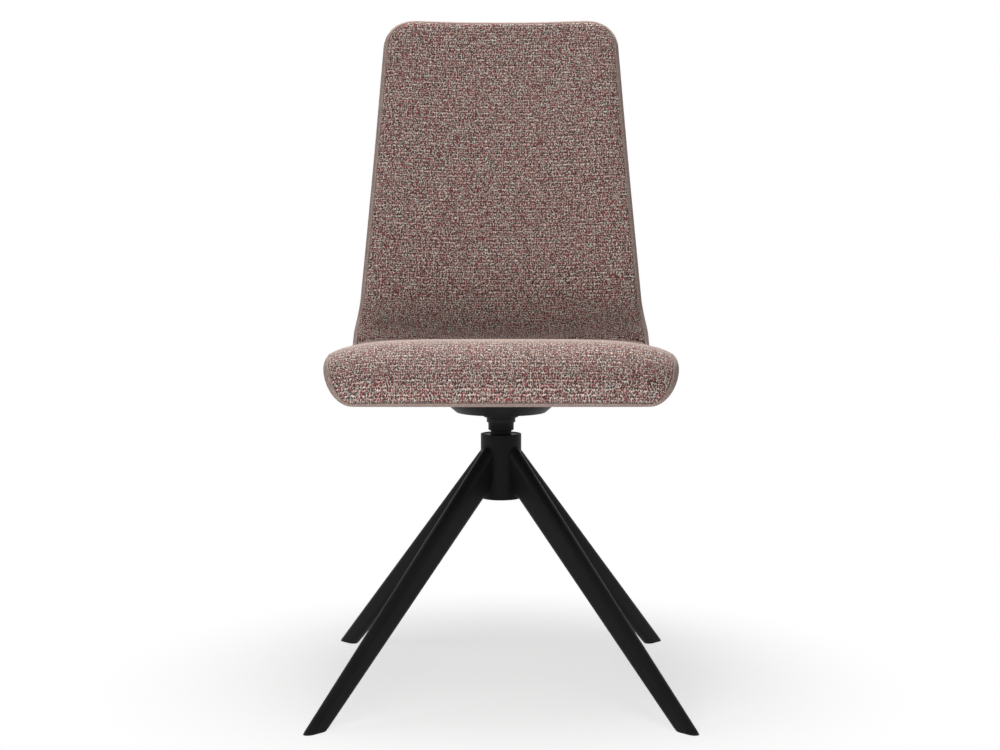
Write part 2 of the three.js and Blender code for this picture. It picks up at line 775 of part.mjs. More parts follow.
// The dish: a moulded cover with a boss round the socket and a rim cut to the slope of the seat.
function dishCover() {
  const top = seatMidHeight;
  const bossRadius = ringRadius + bossWidth;
  const rimRadius = plateRadius + dishBesidePlate;
  const flareRadius = rimRadius - dishRimWidth;
  const cornerRadius = flareRadius - dishFlareWidth;
  const floorRadius = cornerRadius - dishCornerWidth;
  const floorEdge = dishFloor + dishFloorRise;
  const cornerTop = floorEdge + dishCornerRise;
  const flareTop = cornerTop + dishFlareRise;
  const rimTop = flareTop + dishRimRise;
  const dish = turned([
    [besideSocket, ringTop], [bossRadius - edgeChamfer, ringTop], [bossRadius, ringTop + edgeChamfer],
    [bossRadius, dishFloor], [floorRadius, floorEdge], [cornerRadius, cornerTop], [flareRadius, flareTop],
    [rimRadius, rimTop], [rimRadius, top], [rimRadius - dishWall, top], [rimRadius - dishWall, rimTop],
    [flareRadius - dishWall, flareTop + dishWall / 2], [cornerRadius - dishWall / 2, cornerTop + dishWall],
    [floorRadius - dishWall, floorEdge + dishWall], [besideSocket, dishFloor + dishWall],
  ], hubSteps);
  return dish.subtract(aboveLevel(-seatHalfThickness - gap));
}

// Bolts and tee nuts, made upright about their own axis and placed in the seat's frame.
function plateBolt() {
  const headTop = plateBottom - gap;
  const headBottom = headTop - boltHeadHeight;
  const shankTop = teeSeat + teeFlangeThickness / 2;
  return turned([
    [0, headBottom + boltSocketDepth], [boltSocketRadius, headBottom + boltSocketDepth],
    [boltSocketRadius, headBottom], [boltHeadRadius - boltHeadHeight / 2, headBottom],
    [boltHeadRadius, headBottom + boltHeadHeight / 2], [boltHeadRadius, headTop], [boltRadius, headTop],
    [boltRadius, shankTop], [0, shankTop],
  ], smallSteps);
}

function teeNut() {
  const bore = boltRadius + gap;
  const flangeBottom = teeSeat + gap / 2;
  return turned([
    [bore, plyRearLevel + gap], [teeBarrelRadius, plyRearLevel + gap], [teeBarrelRadius, flangeBottom],
    [teeFlangeRadius, flangeBottom], [teeFlangeRadius, flangeBottom + teeFlangeThickness],
    [bore, flangeBottom + teeFlangeThickness],
  ], smallSteps);
}

const cornerNames = ["front_right", "rear_right", "rear_left", "front_left"];
const cornerTurns = [-45, 45, 135, 225];

function baseParts() {
  const base = new THREE.Group();
  const [leg, glide] = [legSolid(), glideSolid()];
  cornerNames.forEach((corner, k) => {
    const legMesh = piece(`leg_${corner}`, leg, "blackPaint");
    const glideMesh = piece(`glide_${corner}`, glide, "blackPlastic");
    legMesh.rotation.z = cornerTurns[k] * degree;
    glideMesh.rotation.z = cornerTurns[k] * degree;
    base.add(legMesh, glideMesh);
  });
  const raceBottom = bearingPlateTop + gap;
  base.add(
    piece("hub_tube", hubTube(), "blackPaint"),
    piece("hub_bottom_cap", hubBottomCap(), "blackPlastic"),
    piece("bearing_plate", ring(raceInner, insideHub, bearingPlateBottom, bearingPlateTop), "steel"),
    piece("thrust_race_lower", ring(raceInner, raceOuter, raceBottom, lowerRaceTop), "steel"),
    piece("ball_cage", ballCage(), "steel"),
    piece("lower_bush", lowerBush(), "nylon"),
    piece("upper_bush", upperBush(), "blackPlastic"),
  );
  return base;
}

function swivelParts() {
  const swivel = new THREE.Group();
  const raceTop = upperRaceBottom + raceThickness;
  const washerBottom = washerTop - washerThickness;
  swivel.add(
    piece("spindle", spindle(), "blackPaint"),
    piece("thrust_race_upper", ring(raceInner, raceOuter, upperRaceBottom, raceTop), "steel"),
    piece("retaining_washer", ring(raceInner, raceInner + washerWidth, washerBottom, washerTop), "zinc"),
    piece("retaining_clip", retainingClip(), "steel"),
    piece("seat_socket", socket(), "blackPaint"),
    piece("cover_ring", coverRing(), "blackPlastic"),
    piece("dish_cover", dishCover(), "blackPlastic"),
    piece("mounting_plate", mountingPlate(), "blackPaint"),
  );
  return swivel;
}

function fasteners() {
  const group = new THREE.Group();
  const origin = shellPoint(0, seatStart + seatFrontReach / Math.cos(seatTilt), 0);
  group.position.copy(origin);
  group.rotation.x = -seatTilt;
  const [bolt, nut] = [plateBolt(), teeNut()];
  boltPlaces.forEach(([x, y], k) => {
    const boltMesh = piece(`plate_bolt_${k + 1}`, bolt, "zinc");
    const nutMesh = piece(`tee_nut_${k + 1}`, nut, "zinc");
    boltMesh.position.set(x, y, 0);
    nutMesh.position.set(x, y, 0);
    group.add(boltMesh, nutMesh);
  });
  return group;
}

function shellParts() {
  const shell = new THREE.Group();
  shell.add(
    piece("plywood_shell", plyShell(), "plywood"),
    piece("seat_cushion", seatCushion(), "fabric"),
    piece("back_cushion", backCushion(), "fabric"),
    piece("under_cover", underCover(), "fabric"),
    piece("rear_cover", coverPanel(1), "fabric"),
    piece("edge_band_left", edgeBand(-1), "strip"),
    piece("edge_band_right", edgeBand(1), "strip"),
  );
  return shell;
}

// The origin is on the floor, in the middle of the chair's bounding box.
const chair = new THREE.Group();
const parts = new THREE.Group();
parts.add(baseParts(), swivelParts(), fasteners(), shellParts());
chair.add(parts);
const bounds = new THREE.Box3().setFromObject(parts, true);
parts.position.y = -(bounds.min.y + bounds.max.y) / 2;

export default chair;
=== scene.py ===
"""Swivel dining chair: a padded one-piece shell in looped tweed on a black steel leg base.

Sizes are in metres. The chair faces -Y and turns about the swivel joint's axis.
"""

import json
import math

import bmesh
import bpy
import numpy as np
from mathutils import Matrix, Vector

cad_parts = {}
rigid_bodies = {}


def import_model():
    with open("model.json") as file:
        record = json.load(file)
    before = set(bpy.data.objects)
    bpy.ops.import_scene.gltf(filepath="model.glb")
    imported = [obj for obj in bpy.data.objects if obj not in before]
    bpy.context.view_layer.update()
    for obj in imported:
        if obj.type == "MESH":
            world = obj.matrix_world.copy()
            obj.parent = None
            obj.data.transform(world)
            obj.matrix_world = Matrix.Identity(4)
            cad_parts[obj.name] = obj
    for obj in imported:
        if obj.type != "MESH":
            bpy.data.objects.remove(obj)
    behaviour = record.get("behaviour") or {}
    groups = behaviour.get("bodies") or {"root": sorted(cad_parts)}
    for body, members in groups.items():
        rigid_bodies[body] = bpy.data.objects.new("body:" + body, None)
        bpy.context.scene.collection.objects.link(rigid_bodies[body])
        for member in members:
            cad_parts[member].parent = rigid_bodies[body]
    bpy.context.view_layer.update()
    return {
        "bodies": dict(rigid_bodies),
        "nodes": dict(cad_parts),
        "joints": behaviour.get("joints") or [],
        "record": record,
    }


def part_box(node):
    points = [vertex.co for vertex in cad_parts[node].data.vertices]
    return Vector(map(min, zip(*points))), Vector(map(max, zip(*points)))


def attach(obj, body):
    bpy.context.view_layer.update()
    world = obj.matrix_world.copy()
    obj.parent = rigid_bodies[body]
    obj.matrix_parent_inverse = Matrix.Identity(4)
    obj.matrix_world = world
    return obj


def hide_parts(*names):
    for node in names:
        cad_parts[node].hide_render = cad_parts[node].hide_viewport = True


bl_info = {
    "name": "Swivel Dining Chair",
    "version": (1, 0, 0),
    "blender": (4, 5, 0),
    "location": "3D Viewport > Sidebar > Chair",
    "description": "Models and dresses an upholstered swivel dining chair",
    "category": "Add Mesh",
}

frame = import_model()

MM = 0.001
DEGREE = math.pi / 180
AXIS_Y = frame["joints"][0]["pos_m"][1]

# Side profile of the shell's middle line, from the turned-down nose to the top of the back.
SEAT_MID_HEIGHT = 450 * MM
SEAT_FRONT_REACH = 168 * MM
SEAT_REAR_REACH = 95.3 * MM
SEAT_TILT = 4.2 * DEGREE
NOSE_RADIUS = 62 * MM
NOSE_DROP = 78 * DEGREE
BEND_RADIUS = 104 * MM
LOW_RECLINE = 11.5 * DEGREE
TOP_RECLINE = 15.5 * DEGREE
BACK_LENGTH = 443 * MM
SEAT_HALF_THICKNESS = 34 * MM

# Values at eight places along the profile: nose edge, seat front, middle of the seat, start, middle
# and end of the bend, middle of the back, top.
HALF_WIDTHS = np.array([226.5, 225, 224.5, 217, 216, 209.3, 191.7, 177]) * MM
HALF_THICKNESSES = np.array([29, 34, 34, 34, 28.5, 25, 23.5, 22]) * MM
WINGS = np.array([0, 0, 0, 13, 31, 31, 26, 17]) * MM
WING_POWER_SHARE = 2.4
FRONT_POWER_SHARES = np.array([4.5, 4.5, 4.5, 5, 7, 9, 9, 9])
FRONT_ROOT_SHARES = np.array([2.3, 2.3, 2.3, 2.2, 2.1, 2, 2, 2])
REAR_POWER_SHARE = 12
REAR_ROOT_SHARE = 2

# Corners of the flat outline and rounding of its two ends.
NOSE_CORNER_WIDTH = 41.5 * MM
NOSE_CORNER_LENGTH = 70 * MM
TOP_CORNER_WIDTH = 46 * MM
TOP_CORNER_LENGTH = 47 * MM
NOSE_ROUNDING = 26 * MM
TOP_ROUNDING = 24 * MM

# Layers of the shell.
REAR_COVER_THICKNESS = 9 * MM
PLY_THICKNESS = 10 * MM
LAYER_GAP = 0.9 * MM
COVER_SKIN = 1.5 * MM
CREASE_TURN = 12 * DEGREE
COVER_SEAM_TURN = 32 * DEGREE

# Base: leg sections, hub and swivel, as in the frame.
FOOT_SPREAD = 236 * MM
LEG_APEX_HEIGHT = 334 * MM
LEG_TOP_DEPTH = 42.6 * MM
LEG_TOP_WIDTH = 21.6 * MM
LEG_FOOT_DEPTH = 25 * MM
LEG_FOOT_WIDTH = 15.9 * MM
SOLE_HEIGHT = 3 * MM
HUB_WALL = 3.2 * MM


def round_node(name):
    """Radius, bottom and top of one of the frame's turned nodes."""
    low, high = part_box(name)
    return high.x, low.z, high.z


HUB_RADIUS, HUB_BOTTOM, HUB_TOP = round_node("hub_tube")
SPINDLE_RADIUS, _, _ = round_node("spindle")
SOCKET_RADIUS, SOCKET_BOTTOM, SOCKET_TOP = round_node("seat_socket")
RING_RADIUS, RING_BOTTOM, RING_TOP = round_node("cover_ring")
DISH_RADIUS, DISH_BOTTOM, _ = round_node("dish_cover")

# Clearance between pieces that touch, and the names and measures of the cloth, with the reach of the painted
# shade at the crease and the shares of painted sheen on the cloth and the strip.
FINE = 0.05 * MM
HELD = "held at the seams"
SHEEN_OFF_CREASE = "sheen_off_crease"
CREASE_SHADE_REACH = 130 * MM
STRIP_PAINTED_SHEEN_SHARE = 0.72
TWEED_PAINTED_SHEEN_SHARE = 0.07
NOSE_STRIP_SHARE = 0.35
SEAT_WEAVE_SHARES = (1.1, 1.4)
SIMULATED_FRAMES = 20
PRESSURE = 4
SWELL_REACH = 40 * MM

# Steps of the meshes: in an outline corner, a seam's roll, the edge strip's round and a panel's corner.
OUTLINE_STEPS = 24
ROLL_STEPS = 6
STRIP_STEPS = 8
PANEL_STEPS = 15
OUTLINE_STEP = 2 * MM
LEAST_STEP = 0.2 * MM

# Edges of rigid pieces are rounded from one angle on, and shaded as edges from another.
SHARP_ANGLE = 30 * DEGREE
SHADED_ANGLE = 35 * DEGREE


def linear(code):
    """An sRGB hex colour as the linear colour that Blender works in."""
    parts = [int(code[i:i + 2], 16) / 255 for i in (0, 2, 4)]
    return [c / 12.92 if c <= 0.04045 else ((c + 0.055) / 1.055) ** 2.4 for c in parts]


def colour(name, code, description):
    return bpy.props.FloatVectorProperty(
        name=name, description=description, subtype="COLOR", size=3, min=0, max=1, default=linear(code))


def length(name, default, description):
    return bpy.props.FloatProperty(
        name=name, description=description, subtype="DISTANCE", unit="LENGTH", min=0, default=default)


class ChairSizes(bpy.types.PropertyGroup):
    """Sizes of the upholstery that a user would change."""

    edge_strip: length("Edge strip", 7.2 * MM, "How far the edge strip reaches in from the outline")
    seam_roll: length("Seam roll", 1.8 * MM, "Radius at which the fabric turns down into a seam")
    crease_depth: length("Crease depth", 7 * MM, "Depth of the sewn crease between seat and back")
    crease_reach: length("Crease reach", 14 * MM, "How far from the crease the pads start to draw in")
    swell: length("Swell", 2.2 * MM, "How far air pressure lifts the padded panels between their seams")
    mesh_step: length("Mesh step", 6 * MM, "Spacing of the rows of the padded pieces")
    loop_width: length("Loop width", 2.5 * MM, "Spacing of the yarn loops across the cloth")
    loop_height: length("Loop height", 3.4 * MM, "Spacing of the yarn loops along the cloth")
    row_height: length("Row height", 5.4 * MM, "Spacing of the rows of loops")


class ChairColours(bpy.types.PropertyGroup):
    """Colours of the yarns and finishes."""

    grey_yarn: colour("Grey yarn", "CFD3C9", "Light grey-green loops")
    beige_yarn: colour("Beige yarn", "D2AB9E", "Pinkish beige loops")
    taupe_yarn: colour("Taupe yarn", "997670", "Middle loops")
    red_yarn: colour("Red yarn", "7F212C", "Maroon flecks")
    black_yarn: colour("Black yarn", "2C2224", "Near-black flecks")
    # A painted shade that stands for the shade between the loops.
    shade_between_loops: colour("Ground", "4A3838", "Shade between the loops")
    # Colour of the painted sheen mixed into the cloth where it is seen at a slant, and also the tint of its
    # real sheen.
    sheen_colour: colour("Fuzz", "CAB8AF", "Tint of the fibres that stand up from the yarn")
    # Colour of the painted sheen laid over most of the edge strip, whether it is seen at a slant or not, and
    # also the tint of its real sheen.
    strip_sheen_colour: colour("Strip fuzz", "AB9991", "Tint of the flattened fibres of the edge strip")
    powder_coat: colour("Powder coat", "111111", "Black paint of the base")
    plastic: colour("Plastic", "151516", "Black moulded plastic")
    floor: colour("Floor", "E8E8E8", "Studio floor")


# Middle line, as runs of (length, first direction, last direction).
NOSE_LENGTH = NOSE_RADIUS * (NOSE_DROP + SEAT_TILT)
SEAT_FLAT = (SEAT_FRONT_REACH + SEAT_REAR_REACH) / math.cos(SEAT_TILT)
BACK_START = math.pi / 2 - LOW_RECLINE
BEND_LENGTH = BEND_RADIUS * (BACK_START + SEAT_TILT)
RUNS = [
    (NOSE_LENGTH, NOSE_DROP, -SEAT_TILT),
    (SEAT_FLAT, -SEAT_TILT, -SEAT_TILT),
    (BEND_LENGTH, -SEAT_TILT, BACK_START),
    (BACK_LENGTH, BACK_START, math.pi / 2 - TOP_RECLINE),
]
SEAT_START = NOSE_LENGTH
BEND_START = SEAT_START + SEAT_FLAT
BEND_END = BEND_START + BEND_LENGTH
SHELL_LENGTH = BEND_END + BACK_LENGTH
STATIONS = np.array([
    0, SEAT_START, (SEAT_START + BEND_START) / 2, BEND_START,
    (BEND_START + BEND_END) / 2, BEND_END, (BEND_END + SHELL_LENGTH) / 2, SHELL_LENGTH,
])
CREASE_PLACE = BEND_START + BEND_RADIUS * CREASE_TURN
COVER_SEAM_PLACE = BEND_START + BEND_RADIUS * COVER_SEAM_TURN


def walk(distance):
    """The (y, z) places and headings of the middle line at distances from the nose edge."""
    distance = np.asarray(distance, float)
    y, z = np.zeros_like(distance), np.zeros_like(distance)
    heading = np.full_like(distance, NOSE_DROP)
    start = 0
    for run, first, last in RUNS:
        step = np.clip(distance - start, 0, run)
        turn = (last - first) * step / run
        chord = step * np.sinc(turn / 2 / math.pi)
        y += chord * np.cos(first + turn / 2)
        z += chord * np.sin(first + turn / 2)
        heading = np.where(distance > start, first + turn, heading)
        start += run
    return y, z, heading


def along(distance, values):
    """A smooth curve through one value for each station."""
    slopes = np.diff(values) / np.diff(STATIONS)
    bends = np.concatenate([slopes[:1], (slopes[:-1] + slopes[1:]) / 2, slopes[-1:]])
    bends[1:-1][slopes[:-1] * slopes[1:] <= 0] = 0
    k = np.clip(np.searchsorted(STATIONS, distance) - 1, 0, len(STATIONS) - 2)
    span = STATIONS[k + 1] - STATIONS[k]
    t = (distance - STATIONS[k]) / span
    square, cube = t * t, t * t * t
    return (values[k] * (2 * cube - 3 * square + 1) + values[k + 1] * (3 * square - 2 * cube)
            + bends[k] * span * (cube - 2 * square + t) + bends[k + 1] * span * (cube - square))


def rounded(share):
    return np.sqrt(1 - (1 - np.clip(share, 0, 1)) ** 2)


def quarter_turn(steps):
    """Shares that rise from nothing to one over a quarter circle, closest together at the start."""
    return 1 - np.cos(np.arange(steps + 1) / steps * math.pi / 2)


def half_width(distance, inset=0.0):
    """Half-width of the flat outline, drawn in by an inset at the sides and the top and less at the nose."""
    start = NOSE_STRIP_SHARE * inset
    nose_share = (distance - start) / (NOSE_CORNER_LENGTH - start)
    top_share = (SHELL_LENGTH - inset - distance) / (TOP_CORNER_LENGTH - inset)
    nose = (NOSE_CORNER_WIDTH - inset) * (1 - rounded(nose_share))
    top = (TOP_CORNER_WIDTH - inset) * (1 - rounded(top_share))
    return along(distance, HALF_WIDTHS) - inset - nose - top


def wing_at(across, distance):
    share = np.abs(across / along(distance, HALF_WIDTHS))
    return along(distance, WINGS) * share ** WING_POWER_SHARE


def thickness_at(distance):
    ends = rounded(distance / NOSE_ROUNDING) * rounded((SHELL_LENGTH - distance) / TOP_ROUNDING)
    return along(distance, HALF_THICKNESSES) * ends


def rim_share(across, distance, power, root):
    share = np.minimum(1, np.abs(across) / np.maximum(half_width(distance), FINE))
    return (1 - share ** power) ** (1 / root)


def front_face(across, distance):
    power = along(distance, FRONT_POWER_SHARES)
    root = along(distance, FRONT_ROOT_SHARES)
    return wing_at(across, distance) + thickness_at(distance) * rim_share(across, distance, power, root)


def rear_face(across, distance):
    full = thickness_at(distance) * rim_share(across, distance, REAR_POWER_SHARE, REAR_ROOT_SHARE)
    return wing_at(across, distance) - full


def ply_rear(across, distance):
    return wing_at(across, distance) - along(distance, HALF_THICKNESSES) + REAR_COVER_THICKNESS


def pad_bottom(sizes, across, distance):
    return ply_rear(across, distance) + PLY_THICKNESS + LAYER_GAP


SEAT_FRONT_Y, SEAT_FRONT_Z, _ = walk(SEAT_START)
PROFILE_Y = AXIS_Y - SEAT_FRONT_REACH - SEAT_FRONT_Y
PROFILE_Z = SEAT_MID_HEIGHT + SEAT_FRONT_REACH * math.tan(SEAT_TILT) - SEAT_FRONT_Z


def shell_points(across, distance, height):
    """Points of the shell: across the chair, along the profile, above the middle line."""
    y, z, heading = walk(distance)
    y = PROFILE_Y + y - np.sin(heading) * height
    z = PROFILE_Z + z + np.cos(heading) * height
    return np.stack([across, y, z], axis=-1)


def half_outline(inset, step):
    """Right half of the flat outline at an inset: (across, distance) from nose to top."""
    corner = quarter_turn(OUTLINE_STEPS)[1:]
    start = NOSE_STRIP_SHARE * inset
    nose = start + (NOSE_CORNER_LENGTH - start) * corner
    top = SHELL_LENGTH - inset - (TOP_CORNER_LENGTH - inset) * corner
    count = round((SHELL_LENGTH - NOSE_CORNER_LENGTH - TOP_CORNER_LENGTH) / step)
    sides = np.linspace(nose[-1], top[-1], count + 1)[1:-1]
    rows = np.concatenate([[start], nose, sides, top[::-1], [SHELL_LENGTH - inset]])
    edge = half_width(rows, inset)
    flat = round(edge[0] / step)
    nose_run = np.linspace(0, edge[0], flat, endpoint=False)
    top_run = np.linspace(edge[-1], 0, flat + 1)[1:]
    across = np.concatenate([nose_run, edge, top_run])
    distance = np.concatenate([np.full(flat, rows[0]), rows, np.full(flat, rows[-1])])
    return across, distance


def seam_distance(across, distance, inset):
    """How far points of the flat shell lie from the outline at an inset."""
    line = np.stack(half_outline(inset, OUTLINE_STEP), axis=-1)
    points = np.stack([np.abs(across).ravel(), distance.ravel()], axis=-1)
    start, run = line[:-1], np.diff(line, axis=0)
    best = np.full(len(points), np.inf)
    for first, step in zip(start, run):
        t = np.clip(((points - first) @ step) / (step @ step), 0, 1)
        gap = points - first - t[:, None] * step
        best = np.minimum(best, np.einsum("ij,ij->i", gap, gap))
    return np.sqrt(best).reshape(across.shape)


def turn_down(away, radius, depth):
    """Depth by which fabric turns down at a distance from a seam."""
    return depth * (1 - rounded(away / radius))


def outward(piece):
    """Turns a closed piece's faces outwards."""
    mesh = bmesh.new()
    mesh.from_mesh(piece.data)
    bmesh.ops.recalc_face_normals(mesh, faces=mesh.faces)
    if mesh.calc_volume(signed=True) < 0:
        bmesh.ops.reverse_faces(mesh, faces=mesh.faces)
    mesh.to_mesh(piece.data)
    mesh.free()


def cloth_piece(name, points, faces, marks, sheen_off_crease):
    """A closed smooth mesh, with a place in metres on its cloth and a share of painted sheen for each point.
    """
    mesh = bpy.data.meshes.new(name)
    mesh.from_pydata([tuple(p) for p in points], [], faces)
    mesh.polygons.foreach_set("use_smooth", [True] * len(mesh.polygons))
    corners = np.zeros(len(mesh.loops), int)
    mesh.loops.foreach_get("vertex_index", corners)
    layer = mesh.uv_layers.new(name="cloth")
    layer.data.foreach_set("uv", np.asarray(marks)[corners].astype(np.float32).ravel())
    mesh.attributes.new(SHEEN_OFF_CREASE, "FLOAT", "POINT").data.foreach_set("value", sheen_off_crease)
    mesh.update()
    piece = bpy.data.objects.new(name, mesh)
    bpy.context.scene.collection.objects.link(piece)
    outward(piece)
    return piece


def panel_edge(sizes):
    """How far the seams of the panels lie inside the outline."""
    return sizes.edge_strip + 2 * FINE


def edge_offsets(roll):
    """Places close to a seam, over the width in which the fabric rolls into it."""
    return roll * quarter_turn(ROLL_STEPS)


def pad_piece(name, rows, upper, lower, sizes, weave=(1, 1)):
    """A padded layer between two faces of the shell over the given rows, closed all round."""
    offsets = edge_offsets(sizes.seam_roll)
    half = half_width(rows, panel_edge(sizes))
    inner = np.linspace(-1, 1, 2 * round(HALF_WIDTHS[0] / sizes.mesh_step) + 1)
    middle = (half - offsets[-1])[:, None] * inner[1:-1]
    left = -half[:, None] + offsets
    right = (half[:, None] - offsets)[:, ::-1]
    across = np.concatenate([left, middle, right], axis=1)
    distance = np.broadcast_to(rows[:, None], across.shape)
    top, bottom = (shell_points(across, distance, face(sizes, across, distance))
                   for face in (upper, lower))
    count, width = across.shape
    points = np.concatenate([top, bottom[:, ::-1]], axis=1).reshape(-1, 3)
    marks = np.stack([across, distance], axis=-1) * weave
    marks = np.concatenate([marks, marks[:, ::-1]], axis=1).reshape(-1, 2)
    ring = 2 * width
    faces = []
    for r in range(count - 1):
        for i in range(ring):
            j = (i + 1) % ring
            faces.append((r * ring + i, r * ring + j, (r + 1) * ring + j, (r + 1) * ring + i))
    last = (count - 1) * ring
    for i in range(width - 1):
        faces.append((i + 1, i, ring - 1 - i, ring - 2 - i))
        faces.append((last + i, last + i + 1, last + ring - 2 - i, last + ring - 1 - i))
    # Painted shade at the crease: the painted sheen fades to none over a reach on either side of it.
    away = np.abs(distance - CREASE_PLACE) / CREASE_SHADE_REACH
    sheen_off_crease = np.clip(np.concatenate([away, away], axis=1).ravel(), 0, 1) ** 2
    piece = cloth_piece(name, points, faces, marks, sheen_off_crease)
    rim = len(offsets)
    held = np.ones((count, ring), bool)
    held[rim:-rim, rim:width - rim] = False
    piece.vertex_groups.new(name=HELD).add(np.flatnonzero(held).tolist(), 1.0, "REPLACE")
    return piece


def smooth_cloth(piece):
    """Smooths a padded piece once nothing needs to hold its seams."""
    piece.vertex_groups.clear()
    piece.modifiers.new("Smooth cloth", "SUBSURF").levels = 1
    apply_modifiers(piece)


def swell_up(piece, cap):
    """Lifts a padded piece as cloth under air pressure, held at its seams, by no more than a cap."""
    mesh = piece.data
    before = np.zeros(3 * len(mesh.vertices))
    mesh.vertices.foreach_get("co", before)
    make_active(piece)
    cloth = piece.modifiers.new("Air pressure", "CLOTH")
    cloth.settings.vertex_group_mass = HELD
    cloth.settings.use_pressure = True
    cloth.settings.uniform_pressure_force = PRESSURE
    cloth.settings.effector_weights.gravity = 0
    cloth.collision_settings.use_collision = False
    cloth.point_cache.frame_start = 1
    cloth.point_cache.frame_end = SIMULATED_FRAMES
    for frame in range(1, SIMULATED_FRAMES + 1):
        bpy.context.scene.frame_set(frame)
    bpy.ops.object.modifier_apply(modifier=cloth.name)
    bpy.context.scene.frame_set(1)
    after = np.zeros_like(before)
    mesh.vertices.foreach_get("co", after)
    moved = (after - before).reshape(-1, 3)
    reach = np.maximum(np.linalg.norm(moved, axis=1, keepdims=True), FINE / 1000)
    capped = moved / reach * cap * np.tanh(reach / cap)
    mesh.vertices.foreach_set("co", before + capped.ravel())
    mesh.update()
    smooth_cloth(piece)


def seam_rows(first, last, sizes, first_roll, last_roll):
    """Rows from one seam to another, closer together near both."""
    corner = NOSE_CORNER_LENGTH * quarter_turn(PANEL_STEPS)[1:]
    plain = np.linspace(first, last, round((last - first) / sizes.mesh_step) + 1)
    rows = np.sort(np.concatenate([first + edge_offsets(first_roll), first + corner, plain, last - corner,
                                   last - edge_offsets(last_roll)]))
    keep = np.concatenate([[True], np.diff(rows) > LEAST_STEP])
    keep[-1] = True
    return rows[keep]


def room_to_swell(away, sizes):
    """How far a panel starts below its full height at a distance from its nearest seam."""
    return sizes.swell * rounded(away / SWELL_REACH)


def front_surface(sizes, across, distance):
    """The fabric of the front, turned down at its seams and at the crease."""
    away = seam_distance(across, distance, panel_edge(sizes))
    crease = np.abs(distance - CREASE_PLACE)
    return (front_face(across, distance) - turn_down(away, sizes.seam_roll, sizes.seam_roll)
            - turn_down(crease, sizes.crease_reach, sizes.crease_depth)
            - room_to_swell(np.minimum(away, crease), sizes))


def rear_surface(sizes, across, distance):
    """The fabric of the rear, turned in at its edge and at the seam across it."""
    away = seam_distance(across, distance, panel_edge(sizes))
    seam = np.abs(distance - COVER_SEAM_PLACE)
    return (rear_face(across, distance) + turn_down(away, sizes.seam_roll, sizes.seam_roll)
            + turn_down(seam, sizes.seam_roll, sizes.seam_roll))


def cover_inner(sizes, across, distance):
    thin = rear_surface(sizes, across, distance) + COVER_SKIN
    return np.maximum(ply_rear(across, distance) - LAYER_GAP, thin)


def edge_strip_piece(name, sizes):
    """The fabric strip round the edge of the shell, from the front seam to the rear seam."""
    shares = 1 - np.sin(np.arange(STRIP_STEPS + 1) / STRIP_STEPS * math.pi / 2)
    near = np.concatenate([sizes.edge_strip - edge_offsets(sizes.seam_roll)[:-1],
                           (sizes.edge_strip - sizes.seam_roll) * shares])
    rows = [half_outline(inset, sizes.mesh_step) for inset in near]
    sides = []
    for side in (1, -1):
        front, rear = [], []
        for inset, (across, distance) in zip(near, rows):
            down = turn_down(sizes.edge_strip - inset, sizes.seam_roll, sizes.seam_roll)
            front.append(shell_points(side * across, distance, front_face(across, distance) - down))
            rear.append(shell_points(side * across, distance, rear_face(across, distance) + down))
        across, distance = rows[0]
        middle = (front_face(across, distance) + rear_face(across, distance)) / 2
        core = shell_points(side * across, distance, middle)
        sides.append(np.stack(front + rear[-2::-1] + [core], axis=1))
    loop = np.concatenate([sides[0], sides[1][-2:0:-1]])
    count, width = loop.shape[:2]
    travel = np.linalg.norm(np.diff(loop[:, len(near)], axis=0), axis=1)
    u = np.concatenate([[0], np.cumsum(travel)])
    girth = np.linalg.norm(np.diff(loop, axis=1), axis=2)
    v = np.concatenate([np.zeros((count, 1)), np.cumsum(girth, axis=1)], axis=1)
    marks = np.stack([np.broadcast_to(u[:, None], v.shape), v], axis=-1).reshape(-1, 2)
    faces = []
    for r in range(count):
        s = (r + 1) % count
        for i in range(width):
            j = (i + 1) % width
            faces.append((r * width + i, s * width + i, s * width + j, r * width + j))
    return cloth_piece(name, loop.reshape(-1, 3), faces, marks, np.ones(count * width))


def deselect():
    bpy.ops.object.select_all(action="DESELECT")


def make_active(piece):
    deselect()
    piece.select_set(True)
    bpy.context.view_layer.objects.active = piece


def pick(piece, test):
    """In edit mode, selects the vertices whose place passes a test."""
    mesh = bmesh.from_edit_mesh(piece.data)
    for vertex in mesh.verts:
        vertex.select = bool(test(vertex.co))
    mesh.select_flush_mode()
    mesh.select_flush(True)
    bmesh.update_edit_mesh(piece.data)


def apply_modifiers(piece):
    make_active(piece)
    for modifier in list(piece.modifiers):
        bpy.ops.object.modifier_apply(modifier=modifier.name)


def cut_away(piece, cutter, reason):
    """Cuts a cutter's form out of a piece and removes the cutter."""
    cut = piece.modifiers.new(reason, "BOOLEAN")
    cut.operation = "DIFFERENCE"
    cut.solver = "EXACT"
    cut.object = cutter
    apply_modifiers(piece)
    bpy.data.objects.remove(cutter)


def soften(piece, width, segments=3):
    """Rounds the sharp edges of a rigid piece and smooths its shading."""
    make_active(piece)
    bevel = piece.modifiers.new("Rounded edges", "BEVEL")
    bevel.width = width
    bevel.segments = segments
    bevel.limit_method = "ANGLE"
    bevel.angle_limit = SHARP_ANGLE
    apply_modifiers(piece)
    bpy.ops.object.shade_smooth_by_angle(angle=SHADED_ANGLE)


